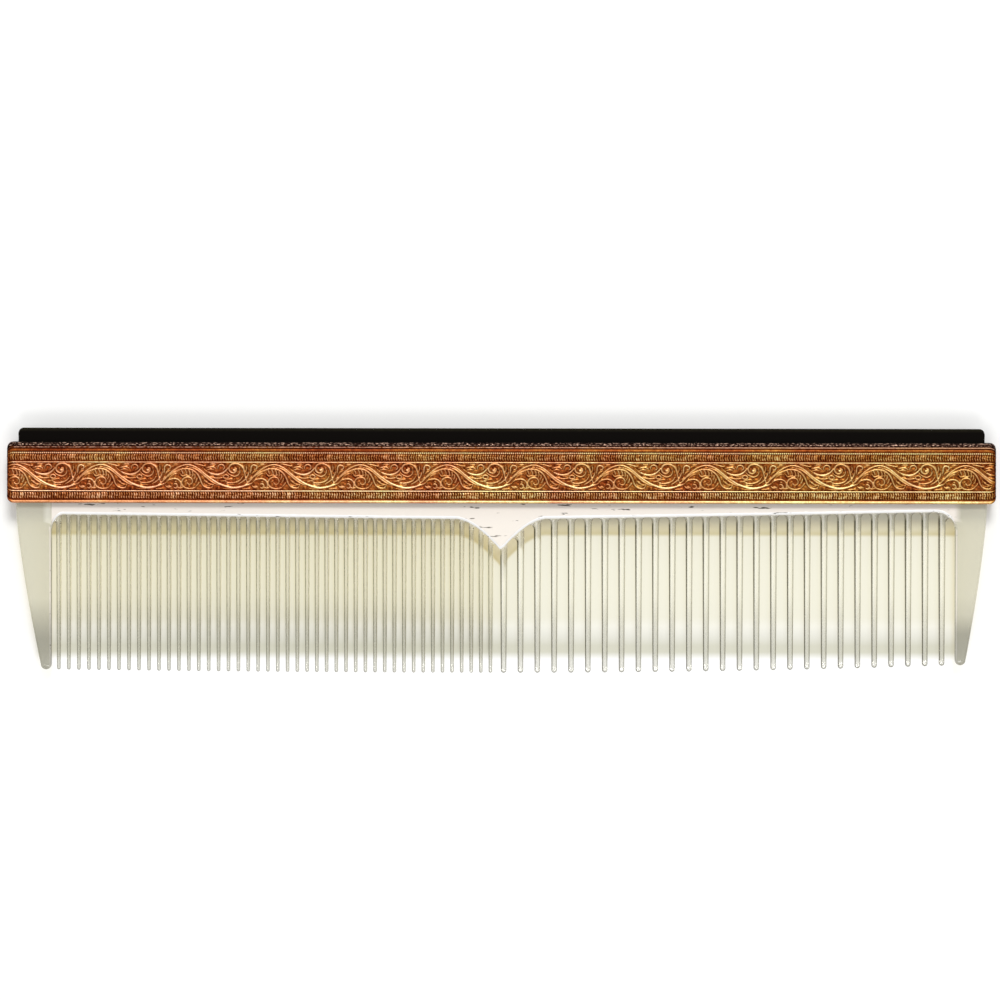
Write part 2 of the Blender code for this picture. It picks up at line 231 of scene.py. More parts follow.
@dataclass(frozen=True)
class GiltBrass:
    """Stamped sheet brass with an antique gilt finish, dark in its recesses.

    The stamping is rubbed bright on its crests and keeps red-brown lacquer and tarnish in its hollows, so the "wear"
    attribute, from 0 in a hollow to 1 on a crest, picks the colour. Tarnish drifts along the strip in soft patches.
    The shoulder is painted dark as shade, with painted glints, by the "shaded_shoulder" attribute.
    """

    hollow: str = "#451506"
    low: str = "#7E421E"
    middle: str = "#AE7640"
    high: str = "#DDB087"
    crest: str = "#F9E6C4"
    # painted shade: the shoulder turns away from the light and is painted dark
    shaded_shoulder: str = "#22120D"
    # painted glints, with rubbed spots, on the shoulder's crimps
    glint_and_rub: str = "#BC9A86"
    ruddy: str = "#FFE0D3"
    golden: str = "#F8FFD2"
    roughness: float = 0.4
    patch_mm: float = 7.0
    mottle_mm: float = 0.7
    grain_mm: float = 0.25
    grain_share: float = 0.45
    mottle_share: float = 0.35
    fleck_mm: float = 0.2
    fleck_range: tuple[float, float] = (0.655, 0.8)
    turn_per_m: float = 1.8
    turn_range: tuple[float, float] = (0.36, 0.66)
    turn_share: float = 0.9
    bump: float = 0.3
    bump_m: float = 0.00005

    def material(self) -> bpy.types.Material:
        """Build the node material; the eye gets dark hollows, warm flanks and bright crests.

        The colour's place on the ramp is wear + grain_share * (grain - 0.5) +
        mottle_share * (mottle + patch - 1), and patch + turn_per_m * x turns it
        from ruddy at the left end to golden at the right.

        Returns:
            The material.
        """
        material, tree, output = new_material("antique_gilt_brass")
        place = add_node(tree, "ShaderNodeTexCoord").outputs["Object"]
        wear = add_node(tree, "ShaderNodeAttribute", {"attribute_name": "wear"}).outputs["Fac"]
        # share of painted shade on the shoulder
        shoulder_shade_share = add_node(tree, "ShaderNodeAttribute", {"attribute_name": "shaded_shoulder"}).outputs["Fac"]
        grain, mottle, patch = (
            add_node(
                tree, "ShaderNodeTexNoise", None,
                {"Vector": place, "Scale": per_mm(size), "Detail": 2.0, "Roughness": 0.6},
            ).outputs["Fac"]
            for size in (self.grain_mm, self.mottle_mm, self.patch_mm)
        )
        uneven = add_node(
            tree, "ShaderNodeMath", {"operation": "MULTIPLY_ADD"},
            {0: grain, 1: self.grain_share, 2: -self.grain_share / 2},
        )
        for noise in (mottle, patch):
            uneven = add_node(
                tree, "ShaderNodeMath", {"operation": "MULTIPLY_ADD"},
                {0: noise, 1: self.mottle_share, 2: uneven.outputs[0]},
            )
        worn = add_node(tree, "ShaderNodeMath", {"operation": "ADD"}, {0: wear, 1: uneven.outputs[0]})
        worn = add_node(
            tree, "ShaderNodeMath", {"operation": "SUBTRACT", "use_clamp": True},
            {0: worn.outputs[0], 1: self.mottle_share},
        ).outputs[0]
        gold = add_node(
            tree, "ShaderNodeValToRGB", None, {"Fac": worn},
            stops=[(0.0, self.hollow), (1.0, self.crest), (0.25, self.low), (0.52, self.middle), (0.8, self.high)],
        ).outputs["Color"]
        along = add_node(tree, "ShaderNodeSeparateXYZ", None, {"Vector": place}).outputs["X"]
        turned = add_node(
            tree, "ShaderNodeMath", {"operation": "MULTIPLY_ADD"}, {0: along, 1: self.turn_per_m, 2: patch}
        )
        drift = add_node(
            tree, "ShaderNodeValToRGB", None, {"Fac": turned.outputs[0]},
            stops=list(zip(self.turn_range, (self.ruddy, self.golden))),
        ).outputs["Color"]
        gilt = add_node(
            tree, "ShaderNodeMix", COLOURS | {"blend_type": "MULTIPLY"}, {0: self.turn_share, 6: gold, 7: drift}
        ).outputs[2]
        long = add_node(tree, "ShaderNodeMapping", None, {"Vector": place, "Scale": (0.4, 1.0, 0.5)}).outputs[0]
        speck = add_node(
            tree, "ShaderNodeTexNoise", None, {"Vector": long, "Scale": per_mm(self.fleck_mm), "Detail": 1.0}
        ).outputs["Fac"]
        speck = add_node(tree, "ShaderNodeMath", {"operation": "ADD"}, {0: speck, 1: wear}).outputs[0]
        low, high = self.fleck_range
        speck = add_node(tree, "ShaderNodeMapRange", None, {"Value": speck, 1: low, 2: high}).outputs[0]
        # painted glints over the painted shade of the shoulder, where noise and wear run high
        shoulder_with_glints = add_node(tree, "ShaderNodeMix", COLOURS, {0: speck, 6: self.shaded_shoulder, 7: self.glint_and_rub}).outputs[2]
        colour = add_node(tree, "ShaderNodeMix", COLOURS, {0: shoulder_shade_share, 6: gilt, 7: shoulder_with_glints}).outputs[2]
        bump = add_node(
            tree, "ShaderNodeBump", None, {"Height": grain, "Strength": self.bump, "Distance": self.bump_m}
        ).outputs["Normal"]
        shader = add_node(
            tree, "ShaderNodeBsdfPrincipled", None,
            {"Base Color": colour, "Metallic": 1.0, "Roughness": self.roughness, "Normal": bump},
        )
        tree.links.new(shader.outputs[0], output.inputs["Surface"])
        return material


@dataclass(frozen=True)
class BlackPlastic:
    """Moulded black plastic, with a faint painted highlight along its top edge."""

    top_y_mm: float
    body: str = "#050200"
    # painted highlight along the top edge, broken up by grain
    edge_highlight: str = "#2E2A1C"
    roughness: float = 0.35
    grain_mm: float = 0.6
    edge_mm: float = 0.7

    def material(self) -> bpy.types.Material:
        """Build the node material; the eye gets near-black with a faint painted highlight along its top edge.

        Returns:
            The material.
        """
        material, tree, output = new_material("moulded_black_plastic")
        place = add_node(tree, "ShaderNodeTexCoord").outputs["Object"]
        grain = add_node(
            tree, "ShaderNodeTexNoise", None,
            {"Vector": place, "Scale": per_mm(self.grain_mm), "Detail": 4.0, "Roughness": 0.6},
        ).outputs["Fac"]
        up = add_node(tree, "ShaderNodeSeparateXYZ", None, {"Vector": place}).outputs["Y"]
        edge = add_node(
            tree, "ShaderNodeMapRange", None,
            {"Value": up, 1: (self.top_y_mm - self.edge_mm) * MM, 2: self.top_y_mm * MM},
        ).outputs[0]
        share = add_node(tree, "ShaderNodeMath", {"operation": "MULTIPLY"}, {0: edge, 1: grain}).outputs[0]
        colour = add_node(tree, "ShaderNodeMix", COLOURS, {0: share, 6: self.body, 7: self.edge_highlight}).outputs[2]
        shader = add_node(
            tree, "ShaderNodeBsdfPrincipled", None,
            {"Base Color": colour, "Roughness": self.roughness, "IOR": 1.5, "Specular IOR Level": 0.05},
        )
        tree.links.new(shader.outputs[0], output.inputs["Surface"])
        return material


@dataclass(frozen=True)
class ClearAcrylic:
    """Moulded clear acrylic, faintly yellowed, with a finely matted back and guards.

    Attributes of the mesh say how matt a place is, where matt white also paints highlights ("frost_and_highlight"),
    how far its cast light is yellowed ("tint") or greyed, which also greys its matt parts as painted shade
    ("lower_grey"), how far its body is darkened, as painted shadow at the roots ("shade_and_darkening"), and how faint
    its painted dark edges are ("fine").
    """

    body: str = "#FFFEF8"
    # painted shade: the dark of the refraction at rounded edges, laid on by facing
    edge: str = "#2E2A1C"
    fine_edge: str = "#F2F0DE"
    # painted shadow at the roots, and a darker body towards the tips
    shade_and_darkening: str = "#8B8A76"
    back: str = "#F3ECE3"
    # painted highlight: matt white of the rim along the root line and of the line along a guard's inner edge
    rim: str = "#FFFFFF"
    # slight real haze, and the painted highlight stripe on each tooth
    haze_and_highlight: str = "#FFFFF6"
    # painted shade on the matt parts, darker towards the tips
    low_shade: str = "#9C9B90"
    guard: str = "#DDDBCC"
    scuff: str = "#4A4438"
    cast: str = "#F3F0E1"
    cast_ash: str = "#C9C6B8"
    cast_back: str = "#EEE6D2"
    roughness: float = 0.03
    edge_range: tuple[float, float] = (0.09, 0.31)
    low_shade_share: float = 0.72
    scuff_mm: float = 1.3
    scuff_range: tuple[float, float] = (0.64, 0.68)
    wave_mm: float = 2.5
    bump: float = 0.15
    bump_m: float = 0.0001

    def material(self) -> bpy.types.Material:
        """Build the node material; the eye gets painted dark refraction on rounded edges, a see-through body, a white
        back and painted highlights in matt white.

        Diffuse and shadow rays pass straight through, tinted, so that the light
        on the floor is coloured without noise.

        Returns:
            The material.
        """
        material, tree, output = new_material("clear_acrylic")
        place = add_node(tree, "ShaderNodeTexCoord").outputs["Object"]
        frost_and_highlight, tint, lower_grey, shade_and_darkening, fine = (
            add_node(tree, "ShaderNodeAttribute", {"attribute_name": name}).outputs["Fac"]
            for name in ("frost_and_highlight", "tint", "lower_grey", "shade_and_darkening", "fine")
        )
        facing = add_node(tree, "ShaderNodeLayerWeight", None, {"Blend": 0.5}).outputs["Facing"]
        low, high = self.edge_range
        edge = add_node(tree, "ShaderNodeMapRange", None, {"Value": facing, 1: low, 2: high}).outputs[0]
        long = add_node(tree, "ShaderNodeMapping", None, {"Vector": place, "Scale": (0.25, 1.6, 1.6)}).outputs[0]
        scuff = add_node(
            tree, "ShaderNodeTexNoise", None,
            {"Vector": long, "Scale": per_mm(self.scuff_mm), "Detail": 3.0, "Roughness": 0.7},
        ).outputs["Fac"]
        worn = add_node(tree, "ShaderNodeMapRange", None, {"Value": frost_and_highlight, 1: 0.6, 2: 0.85}).outputs[0]
        low, high = self.scuff_range
        scuff = add_node(tree, "ShaderNodeMapRange", None, {"Value": scuff, 1: low, 2: high, 4: worn}).outputs[0]
        solid = add_node(
            tree, "ShaderNodeValToRGB", None, {"Fac": frost_and_highlight},
            stops=[(0.0, self.haze_and_highlight), (1.0, self.rim), (0.44, self.haze_and_highlight), (0.5, self.guard), (0.85, self.back),
                   (0.93, self.back)],
        ).outputs["Color"]
        # painted shade on the matt parts lower down
        low_shaded = add_node(tree, "ShaderNodeMath", {"operation": "MULTIPLY"}, {0: lower_grey, 1: self.low_shade_share}).outputs[0]
        for share, over in ((low_shaded, self.low_shade), (scuff, self.scuff)):
            solid = add_node(tree, "ShaderNodeMix", COLOURS, {0: share, 6: solid, 7: over}).outputs[2]
        # body darkened with painted shadow at the roots
        darkened_body = add_node(tree, "ShaderNodeMix", COLOURS, {0: shade_and_darkening, 6: self.body, 7: self.shade_and_darkening}).outputs[2]
        # painted dark edges, fainter where the fine attribute is high
        rims = add_node(tree, "ShaderNodeMix", COLOURS, {0: fine, 6: self.edge, 7: self.fine_edge}).outputs[2]
        clear = add_node(tree, "ShaderNodeMix", COLOURS, {0: edge, 6: darkened_body, 7: rims}).outputs[2]
        matt = add_node(tree, "ShaderNodeMapRange", None, {"Value": frost_and_highlight, 1: 0.25, 2: 0.5}).outputs[0]
        colour = add_node(tree, "ShaderNodeMix", COLOURS, {0: matt, 6: clear, 7: solid}).outputs[2]
        through = add_node(
            tree, "ShaderNodeMath", {"operation": "SUBTRACT", "use_clamp": True}, {0: 1.0, 1: frost_and_highlight}
        ).outputs[0]
        wave = add_node(
            tree, "ShaderNodeTexNoise", None, {"Vector": place, "Scale": per_mm(self.wave_mm), "Detail": 1.0}
        ).outputs["Fac"]
        bump = add_node(
            tree, "ShaderNodeBump", None, {"Height": wave, "Strength": self.bump, "Distance": self.bump_m}
        ).outputs["Normal"]
        shader = add_node(
            tree, "ShaderNodeBsdfPrincipled", None,
            {"Base Color": colour, "Roughness": self.roughness, "IOR": 1.49, "Transmission Weight": through,
             "Normal": bump},
        )
        yellowed = add_node(tree, "ShaderNodeMix", COLOURS, {0: lower_grey, 6: self.cast, 7: self.cast_ash}).outputs[2]
        shade = add_node(tree, "ShaderNodeMix", COLOURS, {0: tint, 6: WHITE, 7: yellowed}).outputs[2]
        behind = add_node(tree, "ShaderNodeMapRange", None, {"Value": frost_and_highlight, 1: 0.3, 2: 0.9}).outputs[0]
        shade = add_node(tree, "ShaderNodeMix", COLOURS, {0: behind, 6: shade, 7: self.cast_back}).outputs[2]
        passing = add_node(tree, "ShaderNodeBsdfTransparent", None, {"Color": shade})
        path = add_node(tree, "ShaderNodeLightPath")
        mix = shader
        for rays in ("Is Diffuse Ray", "Is Shadow Ray"):
            mix = add_node(
                tree, "ShaderNodeMixShader", None, {0: path.outputs[rays], 1: mix.outputs[0], 2: passing.outputs[0]}
            )
        tree.links.new(mix.outputs[0], output.inputs["Surface"])
        return material


@dataclass(frozen=True)
class DrawnBrass:
    """Plain drawn brass wire of the hidden pins."""

    body: str = "#C9A15A"
    dull: str = "#8E6A34"
    roughness: float = 0.38
    grain_mm: float = 0.4

    def material(self) -> bpy.types.Material:
        """Build the node material; the eye gets a dull yellow metal.

        Returns:
            The material.
        """
        material, tree, output = new_material("drawn_brass")
        place = add_node(tree, "ShaderNodeTexCoord").outputs["Object"]
        grain = add_node(
            tree, "ShaderNodeTexNoise", None, {"Vector": place, "Scale": per_mm(self.grain_mm), "Detail": 3.0}
        ).outputs["Fac"]
        colour = add_node(tree, "ShaderNodeMix", COLOURS, {0: grain, 6: self.dull, 7: self.body}).outputs[2]
        shader = add_node(
            tree, "ShaderNodeBsdfPrincipled", None,
            {"Base Color": colour, "Metallic": 1.0, "Roughness": self.roughness},
        )
        tree.links.new(shader.outputs[0], output.inputs["Surface"])
        return material


@dataclass(frozen=True)
class WhitePaper:
    """Matt white paper of the floor, toned by position where the clear teeth lie over it, with a painted shadow along
    the root line.

    It is creamy under the teeth, less so under the coarse ones, with a soft grey band just above the tips and a tan
    one along the root line. All of them end under the guards. The tones belong to the floor, not to the comb: they
    show through the gaps. they show through the gaps, and the exported comb has none of them.
    """

    edge_y_mm: float
    split_mm: float
    web_mm: tuple[float, float, float]
    sheet: str = "#FBFBFA"
    cream: str = "#F0EEE0"
    pale: str = "#EEECDD"
    grey: str = "#D3D2C2"
    # painted shadow of the blade's back, along the root line
    tan_shadow: str = "#D4CBA6"
    foot_mm: float = 32.0
    rise_mm: float = 40.0
    reach_mm: float = 84.5
    soft_mm: float = 1.0

    def material(self) -> bpy.types.Material:
        """Build the node material; the eye gets a pale ground, toned under the teeth.

        Each tone is a ramp along Y, from foot_mm below the shells' edge over rise_mm, kept between the guards. web_mm
        holds the root line's web: its X, half width and depth. The tan band, a painted shadow of the blade's back,
        sinks with it, by depth * (1 - distance / half width)^1.7.

        Returns:
            The material.
        """
        material, tree, output = new_material("matt_white_paper")
        place = add_node(tree, "ShaderNodeTexCoord").outputs["Object"]
        axes = add_node(tree, "ShaderNodeSeparateXYZ", None, {"Vector": place})
        low = self.edge_y_mm - self.foot_mm
        along = add_node(
            tree, "ShaderNodeMapRange", None, {"Value": axes.outputs["Y"], 1: low * MM, 2: (low + self.rise_mm) * MM}
        ).outputs[0]
        out = add_node(tree, "ShaderNodeMath", {"operation": "ABSOLUTE"}, {0: axes.outputs["X"]}).outputs[0]
        inside, coarse = (
            add_node(
                tree, "ShaderNodeMapRange", None,
                {"Value": value, 1: (middle - soft) * MM, 2: (middle + soft) * MM},
            ).outputs[0]
            for value, middle, soft in (
                (out, self.reach_mm, -self.soft_mm), (axes.outputs["X"], self.split_mm, self.soft_mm)
            )
        )
        middle, half, depth = self.web_mm
        aside = add_node(
            tree, "ShaderNodeMath", {"operation": "SUBTRACT"}, {0: axes.outputs["X"], 1: middle * MM}
        ).outputs[0]
        aside = add_node(tree, "ShaderNodeMath", {"operation": "ABSOLUTE"}, {0: aside}).outputs[0]
        near = add_node(tree, "ShaderNodeMapRange", None, {"Value": aside, 1: half * MM, 2: 0.0}).outputs[0]
        near = add_node(tree, "ShaderNodeMath", {"operation": "POWER"}, {0: near, 1: 1.7}).outputs[0]
        raised = add_node(
            tree, "ShaderNodeMath", {"operation": "MULTIPLY_ADD"}, {0: near, 1: depth / self.rise_mm, 2: along}
        ).outputs[0]
        shares = []
        for way, stops in (
            (along, [(0.15, BLACK), (1.0, BLACK), (0.28, WHITE), (0.9, WHITE)]),
            (along, [(0.085, BLACK), (0.24, BLACK), (0.12, WHITE), (0.15, WHITE)]),
            (raised, [(0.648, BLACK), (0.74, BLACK), (0.662, WHITE), (0.685, "#C0C0C0")]),
        ):
            ramp = add_node(tree, "ShaderNodeValToRGB", None, {"Fac": way}, stops=stops).outputs["Color"]
            shares.append(add_node(tree, "ShaderNodeMath", {"operation": "MULTIPLY"}, {0: inside, 1: ramp}).outputs[0])
        under = add_node(tree, "ShaderNodeMix", COLOURS, {0: coarse, 6: self.cream, 7: self.pale}).outputs[2]
        colour = self.sheet
        for share, over in zip(shares, (under, self.grey, self.tan_shadow)):
            colour = add_node(tree, "ShaderNodeMix", COLOURS, {0: share, 6: colour, 7: over}).outputs[2]
        shader = add_node(
            tree, "ShaderNodeBsdfPrincipled", None,
            {"Base Color": colour, "Roughness": 1.0, "Specular IOR Level": 0.0},
        )
        tree.links.new(shader.outputs[0], output.inputs["Surface"])
        return material


@dataclass(frozen=True)
class Stroke:
    """One raised line of the vine ornament, in millimetres from a trough of its stem.

    width is half the line's width at its widest; start and end are the shares
    of it left at its two ends; rise is the share of the full relief it reaches.
    """

    name: str
    width: float
    start: float
    end: float
    rise: float
    points: tuple[tuple[float, float], ...]


VINE = (
    Stroke("stem falling", 0.28, 0.45, 0.05, 0.86, (
        (6.38, 4.37), (7.29, 4.55), (8.42, 4.33), (9.56, 3.69), (10.7, 2.73), (11.84, 1.87), (13.21, 1.07),
        (14.57, 0.57), (15.74, 0.36), (17.0, 0.5), (18.2, 0.85), (19.2, 1.2),
    )),
    Stroke("trough", 0.29, 0.1, 0.1, 1.0, (
        (11.2, 2.36), (12.3, 1.6), (13.21, 1.07), (14.57, 0.57), (15.74, 0.36), (17.0, 0.5), (18.2, 0.85),
        (19.4, 1.3),
    )),
    Stroke("stem rising", 0.23, 0.5, 0.5, 0.78, (
        (1.48, 0.5), (2.28, 1.0), (3.07, 1.68), (3.87, 2.55), (4.78, 3.42), (5.81, 4.1), (6.83, 4.46),
        (7.63, 4.55),
    )),
    Stroke("stem inner line", 0.17, 0.2, 0.3, 0.8, (
        (6.38, 4.01), (7.51, 4.14), (8.65, 3.83), (9.68, 3.19), (10.7, 2.32), (11.73, 1.5), (12.98, 0.87),
        (14.35, 0.77),
    )),
    Stroke("leaf edge", 0.22, 0.3, 0.5, 0.8, (
        (3.9, 2.35), (4.7, 3.02), (6.0, 3.62), (7.06, 3.82), (8.2, 3.6), (9.11, 2.96), (9.68, 2.05),
        (10.06, 1.07), (10.7, 0.41), (11.61, 0.3), (12.11, 0.77),
    )),
    *(Stroke("lobe", 0.19, 0.8, 0.2, 0.75, points) for points in (
        ((6.33, 3.55), (6.51, 3.19), (6.65, 2.78)),
        ((6.97, 3.64), (7.2, 3.23), (7.29, 2.73)),
        ((7.63, 3.55), (7.86, 3.14), (7.83, 2.6)),
        ((8.29, 3.23), (8.42, 2.78), (8.24, 2.28)),
        ((8.79, 2.69), (8.79, 2.23), (8.52, 1.82)),
        ((9.15, 2.0), (9.02, 1.55), (8.74, 1.23)),
        ((9.52, 1.28), (9.29, 0.91), (8.97, 0.68)),
    )),
    Stroke("leaf spiral", 0.21, 0.4, 0.5, 0.78, (
        (9.2, 0.82), (8.7, 0.36), (7.79, 0.18), (6.88, 0.41), (6.38, 1.05), (6.51, 1.78), (7.15, 2.23),
        (7.92, 2.19), (8.33, 1.68), (8.2, 1.14), (7.7, 0.96), (7.33, 1.28),
    )),
    Stroke("curl stem", 0.21, 0.2, 0.5, 0.85, (
        (3.6, 1.5), (4.28, 1.87), (5.19, 2.0), (5.92, 1.68), (6.24, 1.0), (6.1, 0.27),
    )),
    Stroke("curl ball", 0.18, 0.5, 0.5, 0.85, (
        (4.83, 0.87), (5.1, 1.09), (5.46, 0.96), (5.6, 0.55), (5.28, 0.27), (4.92, 0.41),
    )),
    Stroke("seed", 0.18, 0.5, 0.4, 0.8, ((3.6, 0.46), (4.1, 0.64), (4.51, 0.41))),
    Stroke("great spiral", 0.24, 0.4, 0.5, 0.82, (
        (2.55, 1.23), (2.28, 2.09), (2.09, 3.01), (1.78, 3.96), (1.09, 4.58), (0.27, 4.76), (-0.46, 4.49),
        (-0.77, 3.87), (-0.55, 3.28), (0.05, 3.05), (0.55, 3.37), (0.59, 3.83), (0.23, 3.96),
    )),
    Stroke("spiral base", 0.2, 0.3, 0.3, 0.8, (
        (1.74, 2.44), (1.25, 1.74), (0.42, 1.35), (-0.6, 1.22), (-1.5, 1.55),
    )),
    Stroke("spiral ring", 0.17, 0.3, 0.3, 0.8, (
        (-1.2, 3.25), (-0.6, 2.72), (0.25, 2.42), (0.95, 2.75), (1.22, 3.35), (1.05, 4.02),
    )),
    Stroke("spiral heart", 0.3, 0.8, 0.8, 0.9, ((0.05, 3.62), (0.2, 3.5), (0.32, 3.62))),
    Stroke("spiral band", 0.19, 0.3, 0.4, 0.85, (
        (2.9, 3.7), (2.76, 2.85), (2.34, 2.04), (1.74, 1.5), (0.95, 1.02),
    )),
    Stroke("side leaf", 0.26, 0.15, 0.3, 0.95, (
        (-4.74, 3.32), (-3.87, 2.91), (-2.96, 2.76), (-2.05, 2.96), (-1.32, 3.51), (-0.91, 4.05),
    )),
    Stroke("side curl", 0.18, 0.5, 0.5, 0.85, (
        (-2.82, 3.78), (-2.69, 4.33), (-2.19, 4.58), (-1.68, 4.33), (-1.64, 3.83), (-2.05, 3.62),
    )),
    Stroke("leaf tip", 0.19, 0.2, 0.5, 0.8, ((-5.05, 3.92), (-4.21, 4.12), (-3.53, 4.08), (-3.1, 3.78))),
    Stroke("oval", 0.17, 0.8, 0.8, 0.8, (
        (-1.82, 2.32), (-1.55, 2.66), (-1.05, 2.62), (-0.82, 2.3), (-1.18, 2.03), (-1.64, 2.12), (-1.82, 2.32),
    )),
    Stroke("comma", 0.2, 0.2, 0.5, 0.9, (
        (3.1, 2.6), (3.2, 3.42), (3.3, 4.17), (3.7, 4.49), (4.3, 4.24), (4.2, 3.76), (3.8, 3.7),
    )),
    Stroke("blade", 0.15, 0.3, 0.3, 0.75, ((2.3, 4.6), (2.42, 3.87), (2.28, 3.1))),
    Stroke("top dash", 0.16, 0.3, 0.2, 0.8, ((8.42, 4.72), (9.34, 4.6), (10.25, 4.37), (10.93, 4.37))),
    Stroke("filler", 0.19, 0.4, 0.3, 0.75, ((-4.2, 2.4), (-3.3, 2.12), (-2.3, 2.14), (-1.6, 2.36))),
    Stroke("filler", 0.18, 0.4, 0.3, 0.7, ((-2.6, 1.56), (-1.75, 1.6), (-0.8, 1.9), (0.3, 1.98))),
    Stroke("filler", 0.17, 0.4, 0.3, 0.65, ((-1.3, 0.86), (-0.4, 0.86), (0.4, 0.92))),
    Stroke("filler", 0.15, 0.4, 0.3, 0.7, ((4.55, 2.5), (5.12, 2.87), (5.74, 2.97))),
    *(Stroke("filler", 0.15, 0.4, 0.3, 0.65, points) for points in (
        ((6.88, 1.37), (7.1, 1.55), (7.42, 1.59)),
        ((3.32, 2.78), (3.78, 3.23), (4.37, 3.55)),
    )),
    *(Stroke("filler", 0.17, 0.4, 0.3, 0.7, points) for points in (
        ((-5.33, 1.84), (-4.86, 1.34), (-4.2, 1.0), (-3.5, 0.92)),
        ((1.6, 0.1), (2.6, 0.22), (3.4, 0.3)),
    )),
    Stroke("filler", 0.18, 0.4, 0.3, 0.75, ((-5.2, 0.66), (-4.7, 0.4), (-3.7, 0.28))),
    *(Stroke("foot cup", 0.18, 0.4, 0.4, 0.75, points) for points in (
        ((3.4, 0.72), (3.9, 0.4), (4.6, 0.62)),
        ((5.3, 0.55), (6.1, 0.3), (6.8, 0.55)),
    )),
    Stroke("curl cup", 0.16, 0.4, 0.4, 0.75, ((6.05, 2.95), (6.45, 2.5), (7.1, 2.62), (7.75, 2.55), (8.2, 2.75))),
    Stroke("corner leaf", 0.18, 0.3, 0.3, 0.75, ((10.9, 3.55), (11.6, 3.74), (12.3, 3.62))),
    *(Stroke("corner leaf", 0.17, 0.3, 0.3, 0.75, points) for points in (
        ((11.3, 4.62), (12.1, 4.66), (12.8, 4.6)),
        ((4.6, 4.6), (5.2, 4.66), (5.9, 4.62)),
    )),
    *(Stroke("vein", 0.13, 0.3, 0.3, 0.6, points) for points in (
        ((9.9, 4.2), (10.8, 3.42), (11.7, 2.72), (12.6, 2.08)),
        ((2.6, 0.62), (3.4, 1.14), (4.2, 2.2), (5.0, 3.02), (6.0, 3.36)),
        ((3.4, 3.1), (4.2, 3.86), (5.1, 4.4), (6.1, 4.72)),
        ((10.4, 1.9), (10.5, 1.0), (11.2, 0.72), (12.1, 1.02)),
        ((0.95, 4.62), (1.75, 4.4), (2.1, 3.7)),
        ((11.1, 4.16), (11.9, 4.3), (12.6, 4.36)),
        ((13.6, 0.28), (14.6, 0.12), (15.6, 0.06)),
        ((12.4, 2.44), (13.2, 2.44), (13.9, 2.62), (14.8, 3.0)),
    )),
    *(Stroke("bump", 0.19, 0.8, 0.8, 0.75, points) for points in (
        ((14.55, 1.13), (14.85, 1.17)),
        ((10.85, 1.5), (11.1, 1.2)),
    )),
    *(Stroke("bump", 0.17, 0.8, 0.8, 0.7, points) for points in (
        ((2.95, 1.95), (3.3, 2.3)),
        ((5.15, 1.5), (5.4, 1.4)),
    )),
)


